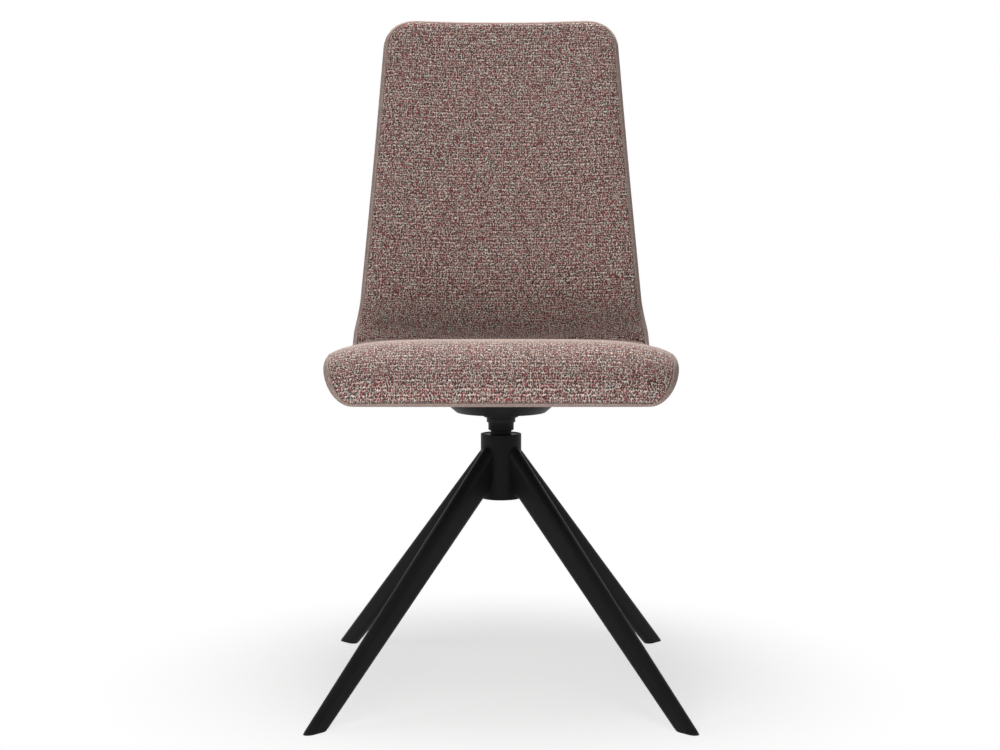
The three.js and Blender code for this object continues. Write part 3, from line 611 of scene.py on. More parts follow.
def turned(name, outline, closed=True, steps=96):
    """A piece turned about the swivel axis: a circle extruded and resized along an outline."""
    deselect()
    (radius, height), rest = outline[0], outline[1:]
    bpy.ops.mesh.primitive_circle_add(vertices=steps, radius=radius, location=(0, AXIS_Y, height))
    piece = bpy.context.object
    piece.name = piece.data.name = name
    bpy.ops.object.transform_apply(location=True, rotation=True, scale=True)
    bpy.ops.object.mode_set(mode="EDIT")
    bpy.ops.mesh.select_all(action="SELECT")
    for next_radius, next_height in rest + (outline[:1] if closed else []):
        rise = {"value": (0, 0, next_height - height)}
        bpy.ops.mesh.extrude_region_move(TRANSFORM_OT_translate=rise)
        scale = next_radius / radius
        bpy.ops.transform.resize(value=(scale, scale, 1), center_override=(0, AXIS_Y, next_height))
        radius, height = next_radius, next_height
    bpy.ops.mesh.select_all(action="SELECT")
    bpy.ops.mesh.remove_doubles(threshold=FINE / 5)
    if not closed:
        bpy.ops.mesh.fill_holes(sides=0)
    bpy.ops.mesh.normals_make_consistent(inside=False)
    bpy.ops.object.mode_set(mode="OBJECT")
    return piece


def turned_part(name, outline, slot, body, node, edge, segments=3, closed=True):
    """A turned piece with rounded edges that stands for a node of the frame."""
    piece = turned(name, outline, closed)
    soften(piece, edge, segments)
    dress(piece, slot, body, node)


def tube_outline(inner, outer, low, high):
    return [(inner, low), (outer, low), (outer, high), (inner, high)]


def rgba(three):
    return (*three, 1)


WHITE = rgba((1, 1, 1))


def add(tree, kind, inputs=None, stops=(), **settings):
    """Adds a node. Its inputs are values, sockets or nodes, and a ramp's stops are (place, colour)."""
    node = tree.nodes.new("ShaderNode" + kind)
    for name, value in settings.items():
        setattr(node, name, value)
    for key, value in (inputs or {}).items():
        value = value.outputs[0] if isinstance(value, bpy.types.Node) else value
        if isinstance(value, bpy.types.NodeSocket):
            tree.links.new(value, node.inputs[key])
        else:
            node.inputs[key].default_value = value
    if stops:
        elements = node.color_ramp.elements
        elements.remove(elements[-1])
        elements[0].position, elements[0].color = stops[0][0], rgba(stops[0][1])
        for place, shade in stops[1:]:
            elements.new(place).color = rgba(shade)
    return node


def new_material(name):
    """An empty material with its node tree."""
    material = bpy.data.materials.new(name)
    material.use_nodes = True
    material.node_tree.nodes.clear()
    return material, material.node_tree


def surface(material, values):
    """Gives a material its shader, with values and links for the shader's sockets."""
    tree = material.node_tree
    add(tree, "OutputMaterial", {"Surface": add(tree, "BsdfPrincipled", values)})
    return material


# The usual range of a noise, the sockets of a colour mix, and flat textures for cloth.
NOISE_SPAN = {"From Min": 0.3, "From Max": 0.7}
MIX_FIRST, MIX_SECOND, MIX_RESULT = 6, 7, 2
FLAT_NOISE = {"kind": "TexNoise", "noise_dimensions": "2D"}
FLAT_CELLS = {"kind": "TexVoronoi", "voronoi_dimensions": "2D"}

# Sizes of the patterns, as width and height or run where they differ. Single wool fibres are too fine to
# show, so they are drawn as tufts of about a millimetre.
TWEED_WAVER = (9 * MM, 9 * MM)
TWEED_SHIFT = (3 * MM, 2.4 * MM, 0)
WARP_STREAK = (2.2 * MM, 20 * MM)
WEFT_STREAK = (18 * MM, 4 * MM)
WOOL_FIBRE = (1.3 * MM, 1.1 * MM)
PEEL_SIZE = 1.1 * MM
PAINT_DRIFT = 45 * MM
SPARK_GRAIN = 0.7 * MM
PLASTIC_DRIFT = 30 * MM
NYLON_FLOW = 6 * MM
WOOD_GRAIN = (6 * MM, 60 * MM)
WOOD_RAYS = (0.8 * MM, 4 * MM)


def in_cloth(tree, place, size, inputs, kind, **settings):
    """A texture of the flat cloth with cells of a width and a height."""
    cell = add(tree, "VectorMath", {0: place, 1: (1 / size[0], 1 / size[1], 0)}, operation="MULTIPLY")
    return add(tree, kind, {"Vector": cell, "Scale": 1.0, **inputs}, **settings)


def looped_tweed(name, sizes, colours, least_painted_sheen, sheen_colour):
    """Looped wool tweed: pale loops in rows, flecks of maroon and black in the dips, and a painted sheen
    where it is seen at a slant.
    """
    material, tree = new_material(name)
    cloth = add(tree, "UVMap", uv_map="cloth")
    waver = in_cloth(tree, cloth, TWEED_WAVER, {"Detail": 1.0}, **FLAT_NOISE).outputs["Color"]
    centred = add(tree, "VectorMath", {0: waver, 1: (0.5, 0.5, 0.5)}, operation="SUBTRACT")
    place = add(tree, "VectorMath", {0: centred, 1: TWEED_SHIFT, 2: cloth}, operation="MULTIPLY_ADD")
    # Warp and weft threads change along their length, which leaves faint streaks both ways.
    upright = in_cloth(tree, cloth, WARP_STREAK, {"Detail": 1.0}, **FLAT_NOISE)
    level = in_cloth(tree, cloth, WEFT_STREAK, {"Detail": 1.0}, **FLAT_NOISE)
    warp = add(tree, "MapRange", {"Value": upright, **NOISE_SPAN})
    weft = add(tree, "MapRange", {"Value": level, **NOISE_SPAN, "To Max": 0.6})
    streaks = add(tree, "Math", {0: warp, 1: weft}, operation="SUBTRACT")
    # Small loops of pale yarn, and larger cells in whose middles the cloth dips, where darker yarn and a
    # painted shade between the loops show.
    width, height = sizes.loop_width, sizes.loop_height
    loops = in_cloth(tree, place, (width * 0.5, height * 0.45), {"Randomness": 1.0}, **FLAT_CELLS)
    dips = in_cloth(tree, place, (width, height), {"Randomness": 0.65}, **FLAT_CELLS)
    yarns = []
    for texture, channel, stops in (
            (loops, "Red", [(0.0, colours.grey_yarn), (0.5, colours.beige_yarn),
                            (0.76, colours.taupe_yarn), (0.93, colours.red_yarn)]),
            (dips, "Green", [(0.0, colours.taupe_yarn), (0.22, colours.shade_between_loops),
                             (0.45, colours.red_yarn), (0.75, colours.black_yarn)])):
        chance = add(tree, "SeparateColor", {"Color": texture.outputs["Color"]}).outputs[channel]
        choice = add(tree, "Math", {0: streaks, 1: 0.35, 2: chance}, operation="MULTIPLY_ADD")
        yarns.append(add(tree, "ValToRGB", {"Fac": choice}, stops))
        yarns[-1].color_ramp.interpolation = "CONSTANT"
    hollow = add(tree, "MapRange", {"Value": dips.outputs["Distance"], "From Min": 0.5, "From Max": 0.34},
                 interpolation_type="SMOOTHSTEP")
    # Each row of loops is bright along its crest and shaded where it meets the next row.
    upward = add(tree, "SeparateXYZ", {0: place}).outputs["Y"]
    half_row = sizes.row_height / 2
    crest = add(tree, "Math", {0: upward, 1: half_row}, operation="PINGPONG")
    rows = add(tree, "MapRange", {"Value": crest, "From Max": half_row, "To Min": 0.62, "To Max": 1.28})
    fibre = in_cloth(tree, cloth, WOOL_FIBRE, {"Detail": 2.0}, **FLAT_NOISE)
    strand = add(tree, "MapRange", {"Value": fibre, **NOISE_SPAN, "To Min": 0.5, "To Max": 1.5})
    yarn = add(tree, "Mix", {0: hollow, MIX_FIRST: yarns[0], MIX_SECOND: yarns[1]}, data_type="RGBA")
    for shade in (rows, strand):
        yarn = add(tree, "Mix", {0: 1.0, MIX_FIRST: yarn.outputs[MIX_RESULT], MIX_SECOND: shade},
                   data_type="RGBA", blend_type="MULTIPLY")
    # Painted sheen: the colour is mixed towards the sheen colour where the cloth is seen at a slant, and
    # less near the crease, which leaves painted shade there.
    slant = add(tree, "LayerWeight", {"Blend": 0.5}).outputs["Facing"]
    painted_sheen_share = add(tree, "MapRange", {"Value": slant, "From Min": 0.55, "From Max": 0.95, "To Min": least_painted_sheen,
                                  "To Max": 0.7}, interpolation_type="SMOOTHSTEP")
    sheen_off_crease = add(tree, "Attribute", attribute_name=SHEEN_OFF_CREASE).outputs["Fac"]
    painted_sheen_kept = add(tree, "Math", {0: painted_sheen_share, 1: sheen_off_crease}, operation="MULTIPLY")
    yarn_with_painted_sheen = add(tree, "Mix", {0: painted_sheen_kept, MIX_FIRST: yarn.outputs[MIX_RESULT], MIX_SECOND: rgba(sheen_colour)},
                 data_type="RGBA")
    relief = add(tree, "Math", {0: fibre, 1: hollow}, operation="SUBTRACT")
    bump = add(tree, "Bump", {"Height": relief, "Strength": 0.35, "Distance": 0.6 * MM})
    return surface(material, {
        "Base Color": yarn_with_painted_sheen.outputs[MIX_RESULT], "Normal": bump, "Roughness": 0.95,
        "Specular IOR Level": 0.1, "Sheen Weight": 0.5, "Sheen Roughness": 0.5, "Sheen Tint": rgba(sheen_colour)})


def drifting(tree, place, reach, first, second, start):
    """A colour that drifts into another over a reach."""
    drift = add(tree, "TexNoise", {"Vector": place, "Scale": 1 / reach, "Detail": 2.0})
    return add(tree, "ValToRGB", {"Fac": drift}, [(start, first), (0.7, second)])


def lighter(shade, share):
    return [min(1, c * share) for c in shade]


def powder_coat(name, colours):
    """Powder-coated steel: matt black polyester, with the fine orange peel of baked powder."""
    material, tree = new_material(name)
    place = add(tree, "TexCoord").outputs["Object"]
    peel = add(tree, "TexNoise", {"Vector": place, "Scale": 1 / PEEL_SIZE, "Detail": 2.0})
    black = colours.powder_coat
    return surface(material, {
        "Base Color": drifting(tree, place, PAINT_DRIFT, black, lighter(black, 1.35), 0.35),
        "Roughness": add(tree, "MapRange", {"Value": peel, "To Min": 0.42, "To Max": 0.6}),
        "Normal": add(tree, "Bump", {"Height": peel, "Strength": 0.25, "Distance": 0.12 * MM}),
        "Specular IOR Level": 0.1})


def moulded_plastic(name, colours):
    """Moulded polypropylene: black with a dull gloss, and the fine spark-eroded grain of its mould."""
    material, tree = new_material(name)
    place = add(tree, "TexCoord").outputs["Object"]
    grain = add(tree, "TexVoronoi", {"Vector": place, "Scale": 1 / SPARK_GRAIN}).outputs["Distance"]
    black = colours.plastic
    return surface(material, {
        "Base Color": drifting(tree, place, PLASTIC_DRIFT, black, lighter(black, 1.3), 0.35),
        "Roughness": 0.48,
        "Normal": add(tree, "Bump", {"Height": grain, "Strength": 0.2, "Distance": 0.08 * MM}),
        "Specular IOR Level": 0.15})


def turned_steel(name, low, high, roughness, grain):
    """Turned, ground or plated steel: bright, with fine marks that run round the piece."""
    material, tree = new_material(name)
    place = add(tree, "TexCoord").outputs["Object"]
    lines = add(tree, "Mapping", {"Vector": place, "Scale": (1 / grain, 1 / grain, 4 / grain)})
    marks = add(tree, "TexNoise", {"Vector": lines, "Scale": 1.0, "Detail": 3.0})
    rough = {"Value": marks, "To Min": roughness * 0.8, "To Max": roughness * 1.25}
    return surface(material, {
        "Base Color": add(tree, "ValToRGB", {"Fac": marks}, [(0.3, linear(low)), (0.7, linear(high))]),
        "Roughness": add(tree, "MapRange", rough),
        "Normal": add(tree, "Bump", {"Height": marks, "Strength": 0.1, "Distance": 0.03 * MM}),
        "Metallic": 1.0})


def natural_nylon(name):
    """Natural nylon: moulded off-white bushes, slightly translucent, with faint flow marks."""
    material, tree = new_material(name)
    place = add(tree, "TexCoord").outputs["Object"]
    return surface(material, {
        "Base Color": drifting(tree, place, NYLON_FLOW, linear("D9D4C3"), linear("E8E4D6"), 0.3),
        "Roughness": 0.42, "Subsurface Weight": 0.2, "Subsurface Scale": 2 * MM})


def beech_plywood(name):
    """Moulded beech plywood: pale straight grain along the shell, with short darker rays."""
    material, tree = new_material(name)
    place = add(tree, "TexCoord").outputs["Object"]
    figures = []
    for (width, run), detail in ((WOOD_GRAIN, 5.0), (WOOD_RAYS, 1.0)):
        lines = add(tree, "Mapping", {"Vector": place, "Scale": (1 / width, 1 / run, 1 / run)})
        figures.append(add(tree, "TexNoise", {"Vector": lines, "Scale": 1.0, "Detail": detail}))
    grain, rays = figures
    mixed = add(tree, "Math", {0: rays, 1: 0.35, 2: grain}, operation="MULTIPLY_ADD")
    stops = [(0.45, linear("D8B98C")), (0.85, linear("B58E5C"))]
    return surface(material, {
        "Base Color": add(tree, "ValToRGB", {"Fac": mixed}, stops),
        "Roughness": 0.5,
        "Normal": add(tree, "Bump", {"Height": rays, "Strength": 0.15, "Distance": 0.1 * MM})})


def material_for(slot):
    """The material of one of the record's slots, made when it is first asked for."""
    sizes, colours = bpy.context.scene.chair_sizes, bpy.context.scene.chair_colours
    name, make, *values = {
        "tweed": ("looped tweed", looped_tweed, sizes, colours, TWEED_PAINTED_SHEEN_SHARE, colours.sheen_colour),
        # The strip is the same tweed with a painted sheen over most of it.
        "tweed_edge": ("looped tweed strip", looped_tweed, sizes, colours, STRIP_PAINTED_SHEEN_SHARE,
                       colours.strip_sheen_colour),
        "black_paint": ("black powder coat", powder_coat, colours),
        "black_plastic": ("black polypropylene", moulded_plastic, colours),
        "steel": ("bearing steel", turned_steel, "8D9093", "B4B6B8", 0.28, 1.5 * MM),
        "zinc": ("zinc plating", turned_steel, "A09F98", "C6C5BC", 0.38, 4 * MM),
        "nylon": ("natural nylon", natural_nylon),
        "plywood": ("beech plywood", beech_plywood),
    }[slot]
    return bpy.data.materials.get(name) or make(name, *values)


def dress(piece, slot, body, *nodes):
    """Gives a new piece the material of a slot and its body, and hides the frame nodes that it stands for.
    """
    piece.data.materials.clear()
    piece.data.materials.append(material_for(slot))
    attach(piece, body)
    if nodes:
        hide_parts(*nodes)


def seen_directly(tree):
    """One for rays that show the background: from the camera, mirrored or let through."""
    ray = add(tree, "LightPath").outputs
    mirrored = add(tree, "Math", {0: ray["Is Camera Ray"], 1: ray["Is Glossy Ray"]}, operation="MAXIMUM")
    return add(tree, "Math", {0: mirrored, 1: ray["Is Transmission Ray"]}, operation="MAXIMUM")


class CHAIR_OT_stage(bpy.types.Operator):
    """Add the studio floor, lights and camera"""

    bl_idname = "chair.stage"
    bl_label = "Stage and Camera"

    FOCAL = 1620
    IMAGE_WIDTH = 1000
    SENSOR = 36
    PITCH = 4.588 * DEGREE
    HEIGHT = 614.22 * MM
    DISTANCE = 2239.9 * MM
    SIDE = -1.45 * MM
    FLOOR_SIZE = 14
    FLOOR_GLOW = 0.64
    FLOOR_BOUNCE = 0.4
    AMBIENT = 0.01
    LIT_RADIUS = 0.2
    WHITE_RADIUS = 0.6
    AIM_HEIGHT = 0.45

    def execute(self, context):
        self.camera(context)
        floor = self.floor(context.scene.chair_colours)
        self.lights(floor)
        self.world(context)
        context.scene.view_settings.view_transform = "Standard"
        return {"FINISHED"}

    def camera(self, context):
        deselect()
        bpy.ops.object.camera_add(location=(self.SIDE, AXIS_Y - self.DISTANCE, self.HEIGHT),
                                  rotation=(math.pi / 2 - self.PITCH, 0, 0))
        camera = context.object
        camera.data.sensor_width = self.SENSOR
        camera.data.lens = self.FOCAL / self.IMAGE_WIDTH * self.SENSOR
        context.scene.camera = camera

    def floor(self, colours):
        """A matt floor that light meets as it is, and that is seen fading to white away from the chair."""
        deselect()
        bpy.ops.mesh.primitive_plane_add(size=self.FLOOR_SIZE, location=(0, 0, 0))
        floor = bpy.context.object
        floor.name = "floor"
        material, tree = new_material("studio_floor")
        place = add(tree, "TexCoord").outputs["Object"]
        reach = add(tree, "VectorMath", {0: place}, operation="LENGTH").outputs["Value"]
        fade = add(tree, "MapRange", {"Value": reach, "From Min": self.LIT_RADIUS,
                                      "From Max": self.WHITE_RADIUS}, interpolation_type="SMOOTHSTEP")
        pale = add(tree, "BsdfDiffuse", {"Color": WHITE})
        glow = add(tree, "Emission", {"Color": WHITE, "Strength": self.FLOOR_GLOW})
        white = add(tree, "Emission", {"Color": WHITE, "Strength": 1.0})
        seen = add(tree, "MixShader", {0: fade, 1: add(tree, "AddShader", {0: pale, 1: glow}), 2: white})
        matt = add(tree, "BsdfDiffuse", {"Color": rgba(colours.floor)})
        bounce = add(tree, "Emission", {"Color": WHITE, "Strength": self.FLOOR_BOUNCE})
        met = add(tree, "AddShader", {0: matt, 1: bounce})
        shown = add(tree, "MixShader", {0: seen_directly(tree), 1: met, 2: seen})
        add(tree, "OutputMaterial", {"Surface": shown})
        floor.data.materials.append(material)
        return floor

    def lights(self, floor):
        # The light behind the back would cast its shadow past the front feet, so it leaves the floor out.
        unlit = bpy.data.collections.new("left out by the rear light")
        unlit.objects.link(floor)
        unlit.collection_objects[0].light_linking.link_state = "EXCLUDE"
        # Name, place, size, watts. Each faces the middle of the chair.
        for name, place, size, power in (
                ("overhead_rear", (0, 1.1, 2.4), 0.9, 72),
                ("overhead_front", (-0.1, -0.7, 1.6), 0.6, 2),
                ("overhead_near", (0, -0.2, 1.5), 0.5, 0.8),
                ("overhead", (0, 0, 2.6), 0.6, 1.2),
                ("front", (-0.3, -2.4, 0.25), 1.2, 36),
                ("left", (-2.6, -0.6, 0.9), 1.2, 7)):
            deselect()
            bpy.ops.object.light_add(type="AREA", location=place)
            light = bpy.context.object
            light.name = name
            light.data.size = size
            light.data.energy = power
            light.visible_camera = False
            light.visible_glossy = name != "front"
            if name == "overhead_rear":
                light.light_linking.receiver_collection = unlit
            aim = Vector((0, 0, self.AIM_HEIGHT)) - Vector(place)
            light.rotation_euler = aim.to_track_quat("-Z", "Y").to_euler()

    def world(self, context):
        world = bpy.data.worlds.new("studio")
        world.use_nodes = True
        tree = world.node_tree
        tree.nodes.clear()
        strength = add(tree, "MapRange", {"Value": seen_directly(tree), "To Min": self.AMBIENT})
        back = add(tree, "Background", {"Color": WHITE, "Strength": strength})
        add(tree, "OutputWorld", {"Surface": back})
        context.scene.world = world


class CHAIR_OT_seat_panel(bpy.types.Operator):
    """Add the padded front panel of the seat"""

    bl_idname = "chair.seat_panel"
    bl_label = "Seat Panel"

    def execute(self, context):
        sizes = context.scene.chair_sizes
        first = NOSE_STRIP_SHARE * panel_edge(sizes)
        rows = seam_rows(first, CREASE_PLACE - FINE, sizes, sizes.seam_roll, sizes.crease_reach)
        piece = pad_piece("seat_panel", rows, front_surface, pad_bottom, sizes, SEAT_WEAVE_SHARES)
        swell_up(piece, sizes.swell)
        dress(piece, "tweed", "seat", "seat_cushion")
        return {"FINISHED"}


class CHAIR_OT_back_panel(bpy.types.Operator):
    """Add the padded front panel of the back"""

    bl_idname = "chair.back_panel"
    bl_label = "Back Panel"

    def execute(self, context):
        sizes = context.scene.chair_sizes
        last = SHELL_LENGTH - panel_edge(sizes)
        rows = seam_rows(CREASE_PLACE + FINE, last, sizes, sizes.crease_reach, sizes.seam_roll)
        piece = pad_piece("back_panel", rows, front_surface, pad_bottom, sizes)
        swell_up(piece, sizes.swell)
        dress(piece, "tweed", "seat", "back_cushion")
        return {"FINISHED"}


class CHAIR_OT_covers(bpy.types.Operator):
    """Add the padded rear cover and the cover under the seat"""

    bl_idname = "chair.covers"
    bl_label = "Rear and Under Covers"

    PLATE_OPENING = 73 * MM

    def execute(self, context):
        sizes = context.scene.chair_sizes
        edge, roll = panel_edge(sizes), sizes.seam_roll
        for name, node, first, last in (
                ("under_panel", "under_cover", NOSE_STRIP_SHARE * edge, COVER_SEAM_PLACE - FINE),
                ("rear_panel", "rear_cover", COVER_SEAM_PLACE + FINE, SHELL_LENGTH - edge)):
            rows = seam_rows(first, last, sizes, roll, roll)
            piece = pad_piece(name, rows, cover_inner, rear_surface, sizes)
            smooth_cloth(piece)
            if name == "under_panel":
                self.open_for_plate(piece)
            dress(piece, "tweed", "seat", node)
        return {"FINISHED"}

    def open_for_plate(self, piece):
        deselect()
        bpy.ops.mesh.primitive_cylinder_add(
            vertices=96, radius=self.PLATE_OPENING, depth=SEAT_MID_HEIGHT / 2,
            location=(0, AXIS_Y, SEAT_MID_HEIGHT), rotation=(-SEAT_TILT, 0, 0))
        bpy.context.object.data.uv_layers[0].name = "cloth"
        cut_away(piece, bpy.context.object, "Opening for the plate")


class CHAIR_OT_edge_strip(bpy.types.Operator):
    """Add the fabric strip round the edge of the shell"""

    bl_idname = "chair.edge_strip"
    bl_label = "Edge Strip"

    def execute(self, context):
        piece = edge_strip_piece("edge_strip", context.scene.chair_sizes)
        dress(piece, "tweed_edge", "seat", "edge_band_left", "edge_band_right")
        return {"FINISHED"}


FOOT_RADIUS = FOOT_SPREAD * math.sqrt(2)
LEG_LENGTH = math.hypot(FOOT_RADIUS, LEG_APEX_HEIGHT)
LEG_SLOPE = math.atan2(LEG_APEX_HEIGHT, FOOT_RADIUS)
LEG_TURNS = {"front_right": -45, "rear_right": 45, "rear_left": 135, "front_left": 225}


def leg_section(share):
    """Width and depth of a leg at a share of the way from the apex to the floor."""
    hub_share = HUB_RADIUS / FOOT_RADIUS
    place = (share - hub_share) / (1 - hub_share)
    width = LEG_TOP_WIDTH + (LEG_FOOT_WIDTH - LEG_TOP_WIDTH) * place
    depth = LEG_TOP_DEPTH + (LEG_FOOT_DEPTH - LEG_TOP_DEPTH) * place
    return width, depth


class CHAIR_OT_legs(bpy.types.Operator):
    """Add the four tapered legs with their welds and glides"""

    bl_idname = "chair.legs"
    bl_label = "Legs and Glides"

    TOP_SHARE = 0.03
    END_SHARE = 1.08
    GLIDE_DRAW = 0.25 * MM
    WELD_RADIUS = 0.8 * MM
    LEG_SIDES = 72
    COPE_SIDES = 128
    WELD_STEPS = 96

    def execute(self, context):
        leg = self.body("leg_blank", 0)
        self.cope(leg)
        self.slice(leg, SOLE_HEIGHT + FINE, None)
        soften(leg, 0.5 * MM)
        glide = self.body("glide_blank", self.GLIDE_DRAW)
        self.slice(glide, 0, SOLE_HEIGHT)
        soften(glide, 0.6 * MM)
        weld = self.weld()
        for corner, turn in LEG_TURNS.items():
            self.place(leg, f"leg_{corner}_tube", turn, "black_paint", f"leg_{corner}")
            self.place(glide, f"glide_{corner}_sole", turn, "black_plastic", f"glide_{corner}")
            self.place(weld, f"weld_{corner}", turn, "black_paint")
        for blank in (leg, glide, weld):
            bpy.data.objects.remove(blank)
        return {"FINISHED"}

    def body(self, name, draw):
        """A leg's outer form, from a circle pulled into a flat oval and drawn out to the foot."""
        deselect()
        start = self.TOP_SHARE * LEG_LENGTH
        end = self.END_SHARE * LEG_LENGTH
        width, depth = (size - 2 * draw for size in leg_section(self.TOP_SHARE))
        foot_width, foot_depth = (size - 2 * draw for size in leg_section(self.END_SHARE))
        bpy.ops.mesh.primitive_circle_add(vertices=self.LEG_SIDES, radius=width / 2,
                                          location=(start, 0, 0), rotation=(0, math.pi / 2, 0))
        leg = bpy.context.object
        leg.name = leg.data.name = name
        bpy.ops.object.transform_apply(location=True, rotation=True, scale=True)
        bpy.ops.object.mode_set(mode="EDIT")
        self.spread(leg, start, (depth - width) / 2)
        bpy.ops.mesh.select_all(action="SELECT")
        bpy.ops.mesh.extrude_region_move(TRANSFORM_OT_translate={"value": (end - start, 0, 0)})
        scale = foot_width / width
        bpy.ops.transform.resize(value=(1, scale, scale), center_override=(end, 0, 0))
        self.spread(leg, end, (foot_depth - foot_width) / 2 - scale * (depth - width) / 2)
        bpy.ops.mesh.select_all(action="SELECT")
        bpy.ops.mesh.fill_holes(sides=0)
        bpy.ops.mesh.normals_make_consistent(inside=False)
        bpy.ops.object.mode_set(mode="OBJECT")
        leg.rotation_euler = (0, LEG_SLOPE, 0)
        leg.location = (0, 0, LEG_APEX_HEIGHT)
        make_active(leg)
        bpy.ops.object.transform_apply(location=True, rotation=True, scale=True)
        return leg

    def spread(self, leg, place, amount):
        """Moves the upper and lower halves of one end apart."""
        for side in (1, -1):
            pick(leg, lambda co: abs(co.x - place) < FINE and (co.z > -FINE) == (side > 0))
            bpy.ops.transform.translate(value=(0, 0, side * amount))

    def cope(self, leg):
        """Cuts the top of a leg to the curve of the hub, and clears what is left inside."""
        deselect()
        radius = HUB_RADIUS - HUB_WALL / 2
        bpy.ops.mesh.primitive_cylinder_add(vertices=self.COPE_SIDES, radius=radius,
                                            depth=2 * LEG_APEX_HEIGHT, location=(0, 0, LEG_APEX_HEIGHT))
        cut_away(leg, bpy.context.object, "Cope")
        make_active(leg)
        bpy.ops.object.mode_set(mode="EDIT")
        pick(leg, lambda co: co.x < radius * 0.6)
        bpy.ops.mesh.delete(type="VERT")
        bpy.ops.object.mode_set(mode="OBJECT")

    def slice(self, piece, bottom, top):
        """Keeps what lies between two levels."""
        make_active(piece)
        bpy.ops.object.mode_set(mode="EDIT")
        for level, above in ((bottom, False), (top, True)):
            if level is None:
                continue
            bpy.ops.mesh.select_all(action="SELECT")
            bpy.ops.mesh.bisect(plane_co=(0, 0, level), plane_no=(0, 0, 1), use_fill=True,
                                clear_outer=above, clear_inner=not above)
        bpy.ops.object.mode_set(mode="OBJECT")

    def weld(self):
        """A weld bead along the line where a leg meets the hub."""
        angles = np.arange(self.WELD_STEPS) / self.WELD_STEPS * 2 * math.pi
        ends = []
        for share in (self.TOP_SHARE, self.END_SHARE):
            width, depth = leg_section(share)
            up = depth / 2 - width / 2
            side = width / 2 * np.sin(angles)
            rise = width / 2 * np.cos(angles) + np.where(np.cos(angles) > 0, up, -up)
            run = np.full_like(rise, share * LEG_LENGTH)
            x = run * math.cos(LEG_SLOPE) + rise * math.sin(LEG_SLOPE)
            z = LEG_APEX_HEIGHT - run * math.sin(LEG_SLOPE) + rise * math.cos(LEG_SLOPE)
            ends.append(np.stack([x, side, z], axis=-1))
        first, step = ends[0], ends[1] - ends[0]
        a = step[:, 0] ** 2 + step[:, 1] ** 2
        b = 2 * (first[:, 0] * step[:, 0] + first[:, 1] * step[:, 1])
        c = first[:, 0] ** 2 + first[:, 1] ** 2 - HUB_RADIUS ** 2
        t = (-b + np.sqrt(b * b - 4 * a * c)) / (2 * a)
        line = first + t[:, None] * step
        curve = bpy.data.curves.new("weld_blank", "CURVE")
        curve.dimensions = "3D"
        curve.bevel_depth = self.WELD_RADIUS
        curve.bevel_resolution = 3
        spline = curve.splines.new("POLY")
        spline.points.add(len(line) - 1)
        spline.use_cyclic_u = True
        for point, place in zip(spline.points, line):
            point.co = (*place, 1)
        weld = bpy.data.objects.new("weld_blank", curve)
        bpy.context.scene.collection.objects.link(weld)
        make_active(weld)
        bpy.ops.object.convert(target="MESH")
        weld = bpy.context.object
        bpy.ops.object.shade_smooth()
        outward(weld)
        return weld

    def place(self, blank, name, turn, slot, *nodes):
        piece = bpy.data.objects.new(name, blank.data.copy())
        bpy.context.scene.collection.objects.link(piece)
        piece.data.transform(Matrix.Translation((0, AXIS_Y, 0)) @ Matrix.Rotation(turn * DEGREE, 4, "Z"))
        dress(piece, slot, "base", *nodes)


class CHAIR_OT_hub(bpy.types.Operator):
    """Add the hub tube, its top bush and its bottom cap"""

    bl_idname = "chair.hub"
    bl_label = "Hub"

    PLAY = 0.35 * MM
    BUSH_RECESS = 1 * MM
    BUSH_LENGTH = 22 * MM
    CAP_RECESS = 1.2 * MM
    CAP_HEIGHT = 9 * MM
    CAP_WALL = 2.2 * MM
    FIT = 0.3 * MM

    def execute(self, context):
        inner = HUB_RADIUS - HUB_WALL
        outer = inner - self.FIT
        turned_part("hub_sleeve", tube_outline(inner, HUB_RADIUS, HUB_BOTTOM, HUB_TOP),
                    "black_paint", "base", "hub_tube", edge=0.9 * MM)
        top = HUB_TOP - self.BUSH_RECESS
        turned_part("top_bush", tube_outline(SPINDLE_RADIUS + self.PLAY, outer, top - self.BUSH_LENGTH, top),
                    "black_plastic", "base", "upper_bush", edge=0.8 * MM)
        low = HUB_BOTTOM + self.CAP_RECESS
        high = low + self.CAP_HEIGHT
        skirt = outer - self.CAP_WALL
        turned_part("bottom_cap", [(outer, low), (outer, high), (skirt, high), (skirt, low + self.CAP_WALL)],
                    "black_plastic", "base", "hub_bottom_cap", edge=0.7 * MM, closed=False)
        return {"FINISHED"}


